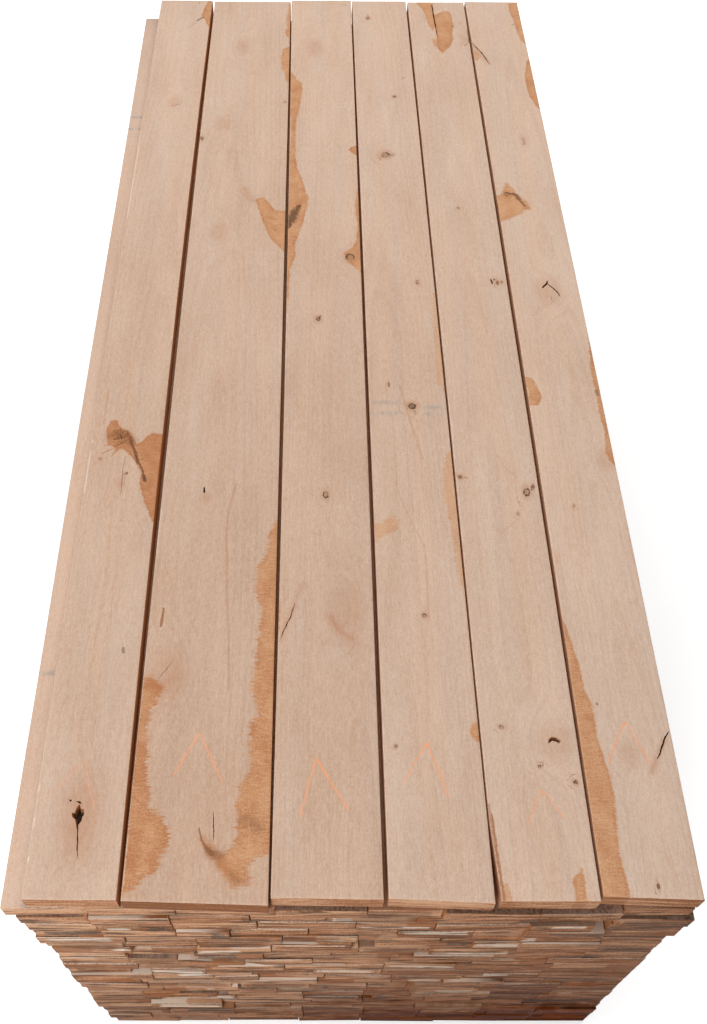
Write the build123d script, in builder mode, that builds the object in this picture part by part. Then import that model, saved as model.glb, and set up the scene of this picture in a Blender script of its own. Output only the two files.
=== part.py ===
"""A dead-packed stack of rough-sawn hardwood boards of random width, all of one thickness.

Six wide boards lie on top, each a piece of its own. Below them lie courses of narrower boards, laid
face to face with no stickers between. The near end, at -Y, is nearly flush, and the far end is ragged.
Lengths are in millimetres, +Z is up, and the origin is under the middle of the stack, on the floor.
"""
import os
from collections import namedtuple

from build123d import *

# Driving dimensions
BOARD_LENGTH = 2460  # nominal 8 ft board with its trim allowance
BOARD_THICKNESS = 38  # rough 6/4 stock
EDGE_EASE = 1  # how much a sawn board's long edges are eased
STACK_WIDTH = 1000  # the tables below give x in thousandths of it
JOINT_GAP = 1.5  # between neighbours of one course
END_STEP = 1  # the courses' near ends stand out by so many of these steps
WANE_WIDTH = 12  # lower edge of a top board that was sawn close to the bark
SPLIT_LENGTH = 150  # drying split in the fifth top board, from its far end
SPLIT_WIDTH = 4
SPLIT_X = 259
WANE_CUT_LENGTH = 120  # bark lost from the near left corner of the fifth top board
WANE_CUT_WIDTH = 8

# Top boards: edges are x at the near end, the middle and the far end, so each edge bows a little.
# Ends are how many mm the left and right corners stand out past the nominal length.
TopBoard = namedtuple("TopBoard", "left right near_out far_out waney_left waney_right")
TOP_BOARDS = (
    TopBoard((-500, -503, -500), (-361, -366, -356), (-1, 0), (6, 6), True, False),
    TopBoard((-355, -355, -350), (-139, -138, -136), (1, 7), (2, 1), False, False),
    TopBoard((-136, -131, -134), (30, 32, 33), (-4, -2), (9, 10), False, False),
    TopBoard((37, 38, 36), (193, 191, 187), (-3, 3), (6, 6), False, True),
    TopBoard((195, 195, 192), (348, 350, 350), (0, 0), (2, 3), False, True),
    TopBoard((352, 357, 354), (500, 504, 501), (-7, -2), (7, 5), False, False),
)
SPLIT_BOARD = 5

# Courses under the top boards, downwards: x of the joints from the left side to the right side, and
# how many steps each board's near end stands out. OPEN marks a gap that no board fills.
OPEN = None
Course = namedtuple("Course", "joints near_out")
COURSES = (
    Course((-540, -413, -280, -130, 8, 122, 266, 389, 497), (0, 1, 1, 5, 3, 8, 8, 0)),
    Course((-525, -415, -292, -170, -52, 88, 246, 370, 390, 506), (4, 6, 3, 0, 1, 3, 0, OPEN, 6)),
    Course((-520, -411, -292, -160, -6, 118, 264, 365, 388, 508), (4, 5, 2, 1, 3, 4, 6, OPEN, 3)),
    Course((-516, -408, -290, -205, -80, 62, 182, 264, 388, 508), (3, 5, 7, 2, 1, 5, 2, 6, 2)),
    Course((-518, -376, -262, -122, 0, 135, 262, 396, 498), (6, 2, 5, 3, 1, 2, 3, 0)),
    Course((-514, -386, -262, -138, -8, 28, 190, 268, 398, 499), (2, 1, 3, 7, OPEN, 3, 4, 6, 1)),
    Course((-508, -376, -343, -267, -142, 4, 122, 268, 400, 500), (3, OPEN, 2, 5, 3, 1, 5, 1, 0)),
    Course((-507, -392, -275, -156, -40, 98, 235, 390, 501), (1, -4, 4, 2, 2, 7, 2, 0)),
    Course((-510, -390, -305, -190, -72, 62, 205, 335, 502), (2, 4, 6, 5, 2, 1, 4, 2)),
    Course((-511, -380, -262, -122, 53, 180, 350, 503), (4, 3, 9, 5, 3, 4, 2)),
    Course((-510, -398, -362, -262, -180, -72, 52, 236, 340, 504), (2, OPEN, 4, 6, 3, 4, 6, 2, 1)),
    Course((-510, -362, -250, -170, -50, 72, 200, 338, 504), (6, 4, 8, 2, 5, 5, 3, 2)),
    Course((-512, -390, -236, -62, 75, 168, 280, 356, 505), (3, 2, 5, 4, 2, 9, 3, 1)),
    Course((-508, -380, -224, -206, -76, 30, 105, 246, 392, 506), (5, 3, OPEN, 4, 8, 2, 7, 5, 1)),
    Course((-503, -355, -212, -138, -12, 112, 244, 386, 507), (3, 3, 7, 4, 2, 6, 3, 1)),
    Course((-504, -398, -256, -236, -90, 28, 120, 272, 390, 508), (3, 7, OPEN, 2, 3, 2, 6, 1, 2)),
    Course((-505, -370, -222, -88, 20, 46, 150, 242, 372, 508), (4, 2, 3, 5, OPEN, 3, 6, 2, 2)),
    Course((-508, -392, -250, -72, 28, 204, 350, 508), (2, 12, 3, 5, 2, 3, 1)),
    Course((-507, -352, -228, -115, 12, 135, 272, 384, 510), (3, 12, 4, 2, 3, 9, 3, 2)),
    Course((-503, -366, -232, -92, 35, 150, 268, 388, 511), (2, 1, 5, 3, 3, 7, 4, 7)),
    Course((-500, -366, -230, -90, 36, 152, 292, 402, 514), (1, 5, 3, 2, 4, 2, 3, 3)),
    Course((-500, -410, -270, -90, 30, 150, 270, 385, 515), (4, 2, 3, 1, 2, 2, 5, 2)),
    Course((-490, -354, -250, -100, 32, 190, 330, 516), (3, 2, 1, 2, 3, 2, 2)),
)
# How much the far ends fall short of the nominal length, taken in turn
FAR_TRIMS = (22, 12, 30, 4, 48, 20, 8, 36, 55, 16, 26)

# Corners of lower boards that were sawn into the bark: (course, board) to corner, width and height
Wane = namedtuple("Wane", "side end width height")
WANES = {
    (5, 4): Wane(-1, 1, 34, 16),
    (7, 3): Wane(1, -1, 22, 14),
    (10, 3): Wane(1, 1, 92, 27),
    (10, 4): Wane(-1, -1, 32, 22),
    (13, 5): Wane(-1, 1, 26, 18),
    (16, 4): Wane(1, -1, 40, 17),
    (19, 3): Wane(-1, -1, 52, 20),
    (22, 7): Wane(1, 1, 30, 15),
}

# Worked out from the driving dimensions
HALF_LENGTH = BOARD_LENGTH / 2
COURSE_COUNT = 1 + len(COURSES)
STACK_HEIGHT = COURSE_COUNT * BOARD_THICKNESS
WIDTH_SHARE = STACK_WIDTH / 1000
LEFT_SIDE = WIDTH_SHARE * min([c.joints[0] for c in COURSES] + [min(b.left) for b in TOP_BOARDS])
RIGHT_SIDE = WIDTH_SHARE * max([c.joints[-1] for c in COURSES] + [max(b.right) for b in TOP_BOARDS])
COURSE_OUTS = [END_STEP * out for row in COURSES for out in row.near_out if out is not OPEN]
NEAR_SIDE = -HALF_LENGTH - max(COURSE_OUTS + [max(b.near_out) for b in TOP_BOARDS])
FAR_SIDE = HALF_LENGTH + max(max(b.far_out) for b in TOP_BOARDS)
CENTRE = Vector((LEFT_SIDE + RIGHT_SIDE) / 2, (NEAR_SIDE + FAR_SIDE) / 2, 0)

os.makedirs("parts", exist_ok=True)


def write(node, name):
    """Name a finished node and write it as a STEP file."""
    node.part.label = name
    export_step(node.part, f"parts/{name}.step")


def corner_of(width, wane):
    """Return the triangle that a waney corner lacks, in a section of the given width."""
    x = wane.side * width / 2
    z = wane.end * BOARD_THICKNESS / 2
    return [(x, z), (x - wane.side * wane.width, z), (x, z - wane.end * wane.height)]


def top_board(board, number):
    """Make one of the six top boards, drawn in plan with gently bowed long edges."""
    near_left, near_right = [-HALF_LENGTH - out for out in board.near_out]
    far_left, far_right = [HALF_LENGTH + out for out in board.far_out]
    left = [x * WIDTH_SHARE for x in board.left]
    right = [x * WIDTH_SHARE for x in board.right]
    corners = [
        Vector(left[0], near_left) - CENTRE,
        Vector(right[0], near_right) - CENTRE,
        Vector(right[2], far_right) - CENTRE,
        Vector(left[2], far_left) - CENTRE,
    ]
    left_middle = Vector(left[1], 0) - CENTRE
    right_middle = Vector(right[1], 0) - CENTRE
    with BuildPart() as plank:
        with BuildSketch(Plane.XY.offset(STACK_HEIGHT - BOARD_THICKNESS)):
            with BuildLine():
                Line(corners[0], corners[1])
                bowed_edge(corners[1], right_middle, corners[2])
                Line(corners[2], corners[3])
                bowed_edge(corners[3], left_middle, corners[0])
            make_face()
            if number == SPLIT_BOARD:
                cut_split(far_left)
                cut_bark_corner(corners[0])
        extrude(amount=BOARD_THICKNESS)
        long_edges = plank.edges().filter_by(lambda edge: edge.length > HALF_LENGTH)
        lower_edges = long_edges.group_by(Axis.Z)[0].sort_by(Axis.X)
        waney = [e for e, is_waney in zip(lower_edges, (board.waney_left, board.waney_right)) if is_waney]
        eased = [e for e in long_edges if e not in waney]
        chamfer(eased, EDGE_EASE)
        if waney:
            chamfer(waney, WANE_WIDTH)
    write(plank, f"top_board_{number}")


def bowed_edge(start, middle, end):
    """Draw a board's long edge as an arc, or as a line where it is straight."""
    bow = (middle - (start + end) / 2).length
    if bow < EDGE_EASE / 10:
        return Line(start, end)
    return ThreePointArc(start, middle, end)


def cut_split(far_end):
    """Cut the drying split, a long wedge that opens at the far end."""
    split_x = SPLIT_X * WIDTH_SHARE
    tip = Vector(split_x, far_end - SPLIT_LENGTH) - CENTRE
    mouth = Vector(split_x, far_end + SPLIT_LENGTH) - CENTRE
    half = Vector(SPLIT_WIDTH, 0)
    Polygon([tip, mouth + half, mouth - half], align=None, mode=Mode.SUBTRACT)


def cut_bark_corner(corner):
    """Cut the sliver of bark that is missing from a near left corner."""
    outside = Vector(-WANE_CUT_WIDTH, 0)
    ahead = Vector(WANE_CUT_WIDTH, -WANE_CUT_WIDTH)
    tip = corner + Vector(0, WANE_CUT_LENGTH)
    Polygon([tip, corner + outside, corner + ahead], align=None, mode=Mode.SUBTRACT)


def course_of_boards(course, number):
    """Make one course: straight boards side by side, each a solid that touches none of the others."""
    middle = STACK_HEIGHT - (number - 0.5) * BOARD_THICKNESS
    with BuildPart() as boards:
        for index, near_out in enumerate(course.near_out):
            if near_out is OPEN:
                continue
            left, right = [x * WIDTH_SHARE for x in course.joints[index : index + 2]]
            width = right - left - JOINT_GAP
            far = HALF_LENGTH - FAR_TRIMS[(number - 2 + index) % len(FAR_TRIMS)]
            length = far + HALF_LENGTH + near_out * END_STEP
            origin = Vector((left + right) / 2, far, middle) - CENTRE
            with BuildSketch(Plane(origin, x_dir=(1, 0, 0), z_dir=(0, -1, 0))):
                RectangleRounded(width, BOARD_THICKNESS, EDGE_EASE)
                if (number, index + 1) in WANES:
                    Polygon(corner_of(width, WANES[number, index + 1]), align=None, mode=Mode.SUBTRACT)
            extrude(amount=length)
    write(boards, f"course_{number:02d}")


for top_number, top in enumerate(TOP_BOARDS, start=1):
    top_board(top, top_number)
for course_number, course_row in enumerate(COURSES, start=2):
    course_of_boards(course_row, course_number)
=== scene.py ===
"""Dresses a dead-packed stack of rough-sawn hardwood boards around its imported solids.

Six wide boards lie on top, each with its own knots, heart stains, checks and crayon mark. The courses below
keep the solids' boards and get worn ends, sawn faces and end grain. Meshes are in metres. A board's own
features are given in millimetres on the stack's axes, as a grader would measure them.
"""

import logging
import math
from contextlib import contextmanager
from dataclasses import dataclass, field
from enum import Enum
from typing import Any, Callable, Iterator, Sequence

import bpy
import numpy as np
from mathutils import Matrix, Vector


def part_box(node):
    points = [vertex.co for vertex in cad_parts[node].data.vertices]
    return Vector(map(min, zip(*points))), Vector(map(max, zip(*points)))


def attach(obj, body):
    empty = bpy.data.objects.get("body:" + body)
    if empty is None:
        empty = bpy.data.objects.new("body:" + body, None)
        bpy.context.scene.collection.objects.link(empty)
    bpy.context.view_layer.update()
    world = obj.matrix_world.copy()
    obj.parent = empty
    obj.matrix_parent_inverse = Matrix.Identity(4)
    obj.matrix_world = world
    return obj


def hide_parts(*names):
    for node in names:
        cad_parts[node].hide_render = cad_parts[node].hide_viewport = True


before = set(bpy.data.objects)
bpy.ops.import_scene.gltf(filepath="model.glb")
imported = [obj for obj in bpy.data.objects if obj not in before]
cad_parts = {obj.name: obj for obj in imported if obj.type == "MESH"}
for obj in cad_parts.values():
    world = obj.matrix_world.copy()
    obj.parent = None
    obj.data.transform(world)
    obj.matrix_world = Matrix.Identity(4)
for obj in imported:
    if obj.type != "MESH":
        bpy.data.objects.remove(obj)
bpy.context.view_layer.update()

LOG = logging.getLogger("lumber")
BODY = "root"
MM = 0.001
PHOTO_WIDTH_PX = 707
PHOTO_HEIGHT_PX = 1024
SENSOR_MM = 36
SMOOTH_ANGLE = math.radians(30)
NOISE_ROUGHNESS = 0.55

# How far marks reach, as values that the materials read
FAR_AWAY = 9.0
LINE_REACH = 5.0
KNOT_REACH = 4.0
STAIN_REACH_MM = 60.0
BAND_SOFT_X = 0.012
BAND_SOFT_Z = 0.006

# The top boards' faces
TONE_STATIONS = (-1.1, -0.2, 1.0)
LOG_SPACING = 7.0
KNOT_SWELL = 1.6
WAVE_HEIGHT, WAVE_LENGTH = 0.35 * MM, 0.5
RUFFLE_HEIGHT, RUFFLE_LENGTH, RUFFLE_SEED = 0.12 * MM, 0.05, 40
FACE_DROP = 0.2 * MM
FADE_DEPTH = 0.02
PIT_FLOOR = 0.55
CUTTER_PROUD = 2 * MM
STICKER_HALF_WIDTH = 5.0
STICKER_SHADE = 0.8

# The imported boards
END_MARGIN = 0.12
MERGE_DISTANCE = 1e-5
STICKER_EDGES = (-0.006, -0.003, 0.003, 0.006)
PACKED_STICKER_REACH = 4 * MM
PACKED_STICKER_SHADE = 0.7
END_WEAR, END_WEAR_SPREAD = 0.6 * MM, 0.5 * MM
# The painted shadow along each packed end's lower edge, and the painted highlight along its upper arris
SHADOW_TOP, SHADOW_FADE, SHADOW_CHANCE = 0.007, 0.005, 0.75
ARRIS_BOTTOM, ARRIS_FADE, ARRIS_CHANCE = 0.005, 0.003, 0.5
HEART_LIMIT = 0.06

Point = tuple[float, float]
Place = tuple[float, float, float]
Colour = tuple[float, float, float, float]

WHITE: Colour = (1.0, 1.0, 1.0, 1.0)
BLACK: Colour = (0.0, 0.0, 0.0, 1.0)


def only(obj: bpy.types.Object) -> None:
    """Select one object and make it the active one."""
    bpy.ops.object.select_all(action="DESELECT")
    obj.select_set(True)
    bpy.context.view_layer.objects.active = obj


@contextmanager
def editing(obj: bpy.types.Object, mode: str = "FACE") -> Iterator[None]:
    """Open an object in edit mode with nothing selected, and leave edit mode afterwards.

    Args:
        obj: The mesh object to edit.
        mode: The select mode, VERT, EDGE or FACE.
    """
    only(obj)
    bpy.ops.object.mode_set(mode="EDIT")
    bpy.ops.mesh.select_mode(type=mode)
    bpy.ops.mesh.select_all(action="DESELECT")
    yield
    bpy.ops.object.mode_set(mode="OBJECT")


def pick_edges(obj: bpy.types.Object, wanted: Callable[[np.ndarray, np.ndarray], np.ndarray]) -> None:
    """Select the edges that pass a test, from inside edit mode.

    Args:
        obj: The object in edit mode.
        wanted: Takes the edges' two ends as arrays of rows, and says which edges to select.
    """
    bpy.ops.mesh.select_mode(type="EDGE")
    bpy.ops.mesh.select_all(action="DESELECT")
    bpy.ops.object.mode_set(mode="OBJECT")
    mesh = obj.data
    points = corners_of(mesh)
    first, second = edges_of(mesh)
    mesh.edges.foreach_set("select", wanted(points[first], points[second]))
    bpy.ops.object.mode_set(mode="EDIT")


def edges_of(mesh: bpy.types.Mesh) -> tuple[np.ndarray, np.ndarray]:
    """Return the numbers of the first and of the second vertex of each edge."""
    ends = np.empty(len(mesh.edges) * 2, dtype=int)
    mesh.edges.foreach_get("vertices", ends)
    return ends[0::2], ends[1::2]


def corners_of(mesh: bpy.types.Mesh) -> np.ndarray:
    """Return a mesh's vertices as an array of rows."""
    flat = np.empty(len(mesh.vertices) * 3)
    mesh.vertices.foreach_get("co", flat)
    return flat.reshape(-1, 3)


def put_corners(mesh: bpy.types.Mesh, points: np.ndarray) -> None:
    """Write an array of rows back to a mesh's vertices."""
    mesh.vertices.foreach_set("co", points.ravel())
    mesh.update()


def put_numbers(mesh: bpy.types.Mesh, name: str, *columns: np.ndarray) -> None:
    """Store a number or a vector for each vertex, which a material reads by name.

    Args:
        mesh: The mesh to write to.
        name: The attribute's name.
        columns: One array for a number, or three for a vector.
    """
    kind, key = ("FLOAT", "value") if len(columns) == 1 else ("FLOAT_VECTOR", "vector")
    layer = mesh.attributes.new(name, kind, "POINT")
    layer.data.foreach_set(key, np.column_stack(columns).astype(np.float32).ravel())


def ripple(points: np.ndarray, wavelength: float, seed: int) -> np.ndarray:
    """Return a smooth seeded ripple between about -1 and 1 over rows of places.

    Args:
        points: Rows of two or three coordinates.
        wavelength: The length of the longest wave.
        seed: What the draws start from.

    Returns:
        One value for each row.
    """
    draw = np.random.default_rng(seed)
    total = np.zeros(len(points))
    for size in (1.0, 0.55, 0.3):
        for _ in range(3):
            way = draw.normal(size=points.shape[1])
            way *= 2 * math.pi / (wavelength * size) / np.linalg.norm(way)
            total += size * np.sin(points @ way + draw.uniform(0, 2 * math.pi))
    return total / 3


def path_distance(places: np.ndarray, path: Sequence[Point]) -> np.ndarray:
    """Return how far each place is from a path of straight runs."""
    nearest = np.full(len(places), np.inf)
    for start, end in zip(np.array(path[:-1]), np.array(path[1:])):
        run = end - start
        share = np.clip((places - start) @ run / max(run @ run, 1e-9), 0, 1)
        nearest = np.minimum(nearest, np.linalg.norm(places - start - share[:, None] * run, axis=1))
    return nearest


def inside_distance(places: np.ndarray, outline: Sequence[Point]) -> np.ndarray:
    """Return how deep each place lies inside a closed outline, as less than nothing outside it."""
    closed = list(outline) + [outline[0]]
    inside = np.zeros(len(places), dtype=bool)
    for (x0, y0), (x1, y1) in zip(closed[:-1], closed[1:]):
        spans = (y0 > places[:, 1]) != (y1 > places[:, 1])
        crossing = x0 + (places[:, 1] - y0) * (x1 - x0) / (y1 - y0 if y1 != y0 else 1.0)
        inside ^= spans & (places[:, 0] < crossing)
    distance = path_distance(places, closed)
    return np.where(inside, distance, -distance)


class StripWeatherAndLight(Enum):
    """The look of a board's near strip: its share of dark grey, weathering with painted shade; below zero,
    its share of pale grey, weathering with painted light.
    """

    PLAIN = 0.0
    TANNED = 0.12
    BLEACHED = -1.0
    DARKENED = 1.0


class BandKind(Enum):
    """What a band across a board's end is: its column in the attribute that stores it."""

    BLEACHED = 0
    DARKENED = 1
    RUSTY = 2


class KnotKind(Enum):
    """How strongly a knot shows: the share of its dark colour."""

    FAINT = 0.16
    SOUND = 0.55
    DARK = 1.0


@dataclass(frozen=True)
class Stain:
    """A patch of brown heartwood on a pale face: its outline, depth of colour and how ragged its edge is."""

    outline: tuple[Point, ...]
    depth: float = 0.45
    ragged: float = 0.1


@dataclass(frozen=True)
class Knot:
    """A knot on a face: its middle, its radius across the grain, its length for its width and its kind."""

    x: float
    y: float
    radius: float
    stretch: float = 1.3
    kind: KnotKind = KnotKind.SOUND


@dataclass(frozen=True)
class Streak:
    """A soft streak along a path: half its width, and how brown and how dark it is."""

    path: tuple[Point, ...]
    width: float
    brown: float = 0.0
    dark: float = 0.0

    @property
    def is_soft(self) -> bool:
        """Whether it fades out slowly, with no edge of its own."""
        return self.dark < 0.5 and self.width > 4.5


@dataclass(frozen=True)
class Check:
    """A drying check along a path: how wide it opens in its middle and how deep it goes."""

    path: tuple[Point, ...]
    width: float
    depth: float = 14.0


@dataclass(frozen=True)
class Pit:
    """A hole that a rotten knot left: its outline and its depth."""

    outline: tuple[Point, ...]
    depth: float = 8.0


@dataclass(frozen=True)
class Chevron:
    """A grader's crayon mark of two strokes: its tip, its two feet and how heavily it is drawn."""

    tip: Point
    left: Point
    right: Point
    weight: float


@dataclass(frozen=True)
class EndBand:
    """A pale, dark grey or rusty band on a packed board's near end.

    Attributes:
        board: The board, counted from the left of its course.
        left: Where the band starts, as a share of the board's width.
        right: Where it stops.
        top: Where it starts, as a share of the board's height from its upper edge down.
        bottom: Where it stops.
        kind: Which of those it is.
    """

    board: int
    left: float
    right: float
    top: float
    bottom: float
    kind: BandKind


class Wires:
    """Adds nodes to one shader tree and links them."""

    def __init__(self, tree: bpy.types.NodeTree) -> None:
        """Keep the tree to add to."""
        self.tree = tree

    def add(self, kind: str, inputs: dict[Any, Any] | None = None, **settings: Any) -> bpy.types.Node:
        """Add a node.

        Args:
            kind: The node's type.
            inputs: Sockets to link from, or plain values, by the input's name or number.
            settings: The node's own options.

        Returns:
            The new node.
        """
        node = self.tree.nodes.new(kind)
        for name, value in settings.items():
            setattr(node, name, value)
        self.link(node, inputs or {})
        return node

    def link(self, node: bpy.types.Node, inputs: dict[Any, Any]) -> None:
        """Link a node's inputs from sockets, or set them to plain values."""
        for key, value in inputs.items():
            if isinstance(value, bpy.types.NodeSocket):
                self.tree.links.new(value, node.inputs[key])
            else:
                node.inputs[key].default_value = value

    def group(self, tree: bpy.types.NodeTree, **inputs: Any) -> bpy.types.bpy_prop_collection:
        """Place a shared group with its inputs linked, and return its outputs."""
        return self.add("ShaderNodeGroup", inputs, node_tree=tree).outputs

    def math(self, operation: str, first: Any, second: Any = 0.0) -> bpy.types.NodeSocket:
        """Return the result of one sum on two values."""
        return self.add("ShaderNodeMath", {0: first, 1: second}, operation=operation).outputs[0]

    def product(self, *values: Any) -> bpy.types.NodeSocket:
        """Return the product of two or more values."""
        result = values[0]
        for value in values[1:]:
            result = self.math("MULTIPLY", result, value)
        return result

    def total(self, *terms: tuple[Any, float]) -> bpy.types.NodeSocket:
        """Return the sum of values, each times its own share."""
        result = 0.0
        for value, share in terms:
            node = self.add("ShaderNodeMath", {0: value, 1: share, 2: result}, operation="MULTIPLY_ADD")
            result = node.outputs[0]
        return result

    def step(
        self, value: Any, low: float, high: float, start: float = 0.0, end: float = 1.0
    ) -> bpy.types.NodeSocket:
        """Return a smooth step between two values."""
        inputs = {"Value": value, "From Min": low, "From Max": high, "To Min": start, "To Max": end}
        return self.add("ShaderNodeMapRange", inputs, interpolation_type="SMOOTHSTEP").outputs["Result"]

    def noise(self, place: Any, scale: Place, detail: float = 2.0) -> bpy.types.NodeSocket:
        """Return noise from 0 to 1 over places that are stretched first."""
        stretched = self.add("ShaderNodeVectorMath", {0: place, 1: scale}, operation="MULTIPLY").outputs[0]
        inputs = {"Vector": stretched, "Scale": 1.0, "Detail": detail, "Roughness": NOISE_ROUGHNESS}
        return self.add("ShaderNodeTexNoise", inputs).outputs["Fac"]

    def split(self, vector: Any) -> tuple[bpy.types.NodeSocket, ...]:
        """Return a vector's three parts."""
        return tuple(self.add("ShaderNodeSeparateXYZ", {0: vector}).outputs)

    def length(self, first: Any, second: Any) -> bpy.types.NodeSocket:
        """Return the length of two sides at right angles."""
        return self.math("SQRT", self.math("ADD", self.product(first, first), self.product(second, second)))

    def mix(self, share: Any, first: Any, second: Any, blend: str = "MIX") -> bpy.types.NodeSocket:
        """Return a colour between two colours."""
        inputs = {0: share, 6: first, 7: second}
        node = self.add("ShaderNodeMix", inputs, data_type="RGBA", blend_type=blend, clamp_factor=True)
        return node.outputs[2]

    def attribute(self, name: str) -> bpy.types.NodeSocket:
        """Return a vector that the mesh stores for each vertex."""
        return self.add("ShaderNodeAttribute", attribute_name=name).outputs["Vector"]


class Group:
    """A shader node group under construction, with named inputs and outputs."""

    def __init__(self, name: str, inputs: dict[str, str]) -> None:
        """Make the tree and its inputs.

        Args:
            name: The group's name.
            inputs: The type of each input socket, by name.
        """
        self.tree = bpy.data.node_groups.new(name, "ShaderNodeTree")
        for socket, kind in inputs.items():
            self.tree.interface.new_socket(socket, in_out="INPUT", socket_type=kind)
        self.wires = Wires(self.tree)
        self.inputs = self.tree.nodes.new("NodeGroupInput").outputs

    def finish(self, **outputs: bpy.types.NodeSocket) -> bpy.types.NodeTree:
        """Add the outputs, linked to their values, and return the tree."""
        for socket in outputs:
            self.tree.interface.new_socket(socket, in_out="OUTPUT", socket_type="NodeSocketFloat")
        self.wires.add("NodeGroupOutput", outputs)
        return self.tree


VECTOR = "NodeSocketVector"
FLOAT = "NodeSocketFloat"


@dataclass
class WoodGroups:
    """The shader groups that the finishes share.

    Attributes:
        figure: Growth rings, fibre and blotches along a board's own log.
        stain: The edge and the body of a heartwood stain.
        knot: A knot's core, rim and halo.
        line: A narrow streak with a ragged edge.
        crayon: The wax of a crayon stroke.
        end: Rings, saw marks and pores on a crosscut end.
    """

    figure: bpy.types.NodeTree = field(init=False)
    stain: bpy.types.NodeTree = field(init=False)
    knot: bpy.types.NodeTree = field(init=False)
    line: bpy.types.NodeTree = field(init=False)
    crayon: bpy.types.NodeTree = field(init=False)
    end: bpy.types.NodeTree = field(init=False)

    def __post_init__(self) -> None:
        """Build every group once."""
        self.figure = self.build_figure()
        self.stain = self.build_stain()
        self.knot = self.build_knot()
        self.line = self.build_line()
        self.crayon = self.build_crayon()
        self.end = self.build_end()

    def build_figure(self) -> bpy.types.NodeTree:
        """Build growth rings round the pith, with fibre and blotches drawn out along it."""
        group = Group("log_figure", {"Log": VECTOR, "Spacing": FLOAT})
        w, log = group.wires, group.inputs["Log"]
        x, _, z = w.split(log)
        wander = w.noise(log, (4.0, 0.8, 4.0))
        wobble = w.noise(log, (45.0, 4.0, 45.0))
        radius = w.total((w.length(x, z), 1.0), (wander, 0.03), (wobble, 0.003))
        phase = w.math("DIVIDE", radius, group.inputs["Spacing"])
        share = w.math("FRACT", phase)
        late = w.product(w.step(share, 0.25, 0.9), w.step(share, 0.9, 1.0, 1.0, 0.0))
        year = w.math("FLOOR", phase)
        strength = w.add("ShaderNodeTexWhiteNoise", {"W": year}, noise_dimensions="1D").outputs["Value"]
        rings = w.product(late, w.math("ADD", strength, 0.3))
        long_fibre = w.noise(log, (190.0, 9.0, 190.0), 2.0)
        short_fibre = w.noise(log, (400.0, 70.0, 400.0), 3.0)
        speckle = w.noise(log, (420.0, 260.0, 420.0), 2.0)
        fibre = w.total((long_fibre, 0.14), (short_fibre, 0.42), (speckle, 0.44))
        blotch = w.noise(log, (16.0, 4.0, 16.0), 4.0)
        band = w.noise(log, (24.0, 1.3, 24.0), 2.0)
        return group.finish(Rings=rings, Fibre=fibre, Blotch=blotch, Band=band)

    def build_stain(self) -> bpy.types.NodeTree:
        """Build a stain whose edge is combed across the grain by the saw."""
        group = Group("heart_stain", {"Distance": FLOAT, "Ragged": FLOAT, "Place": VECTOR})
        w, place = group.wires, group.inputs["Place"]
        teeth = w.math("SUBTRACT", w.noise(place, (20.0, 330.0, 20.0), 4.0), 0.5)
        lobes = w.math("SUBTRACT", w.noise(place, (30.0, 90.0, 30.0), 3.0), 0.5)
        ragged = group.inputs["Ragged"]
        comb = w.product(w.total((teeth, 0.036), (lobes, 0.012)), ragged)
        depth = w.total((group.inputs["Distance"], 1.0), (comb, 1.0), (teeth, 0.003), (lobes, 0.004))
        brushed = w.step(w.noise(place, (14.0, 40.0, 14.0), 2.0), 0.42, 0.62)
        softness = w.total((ragged, 0.0015), (w.product(ragged, brushed), 0.008), (1.0, 0.0015))
        edge = w.math("DIVIDE", depth, softness)
        hatch = w.noise(place, (70.0, 480.0, 70.0), 3.0)
        speckle = w.noise(place, (420.0, 330.0, 420.0), 2.0)
        cloud = w.noise(place, (34.0, 22.0, 34.0), 4.0)
        return group.finish(
            Stain=w.step(edge, -1.0, 1.0),
            Rim=w.product(w.step(depth, -0.002, 0.002), w.step(depth, 0.002, 0.009, 1.0, 0.0)),
            Hatch=w.total((hatch, 0.32), (speckle, 0.36), (cloud, 0.32)),
        )

    def build_knot(self) -> bpy.types.NodeTree:
        """Build a knot from its own coordinates, in which its rim is at 1."""
        group = Group("knot_figure", {"Knot": VECTOR, "Place": VECTOR})
        w = group.wires
        across, along, kind = w.split(group.inputs["Knot"])
        rough = w.math("SUBTRACT", w.noise(group.inputs["Place"], (240.0, 200.0, 240.0), 2.0), 0.5)
        reach = w.total((w.length(across, along), 1.0), (rough, 0.9))
        firm = w.step(kind, 0.16, 0.5, 0.0, 0.95)
        core = w.product(w.step(reach, 0.7, 1.0, 1.0, 0.0), w.step(kind, 0.16, 1.0))
        ring = w.product(w.step(reach, 0.55, 0.8), w.step(reach, 0.95, 1.2, 1.0, 0.0))
        halo = w.product(w.step(reach, 0.6, 3.0, 1.0, 0.0), w.math("POWER", kind, 0.35))
        broken = w.step(w.noise(group.inputs["Place"], (60.0, 55.0, 60.0), 2.0), 0.42, 0.56, 0.12, 1.0)
        return group.finish(Core=core, Rim=w.product(ring, firm, broken), Halo=halo, Mottle=rough)

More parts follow.
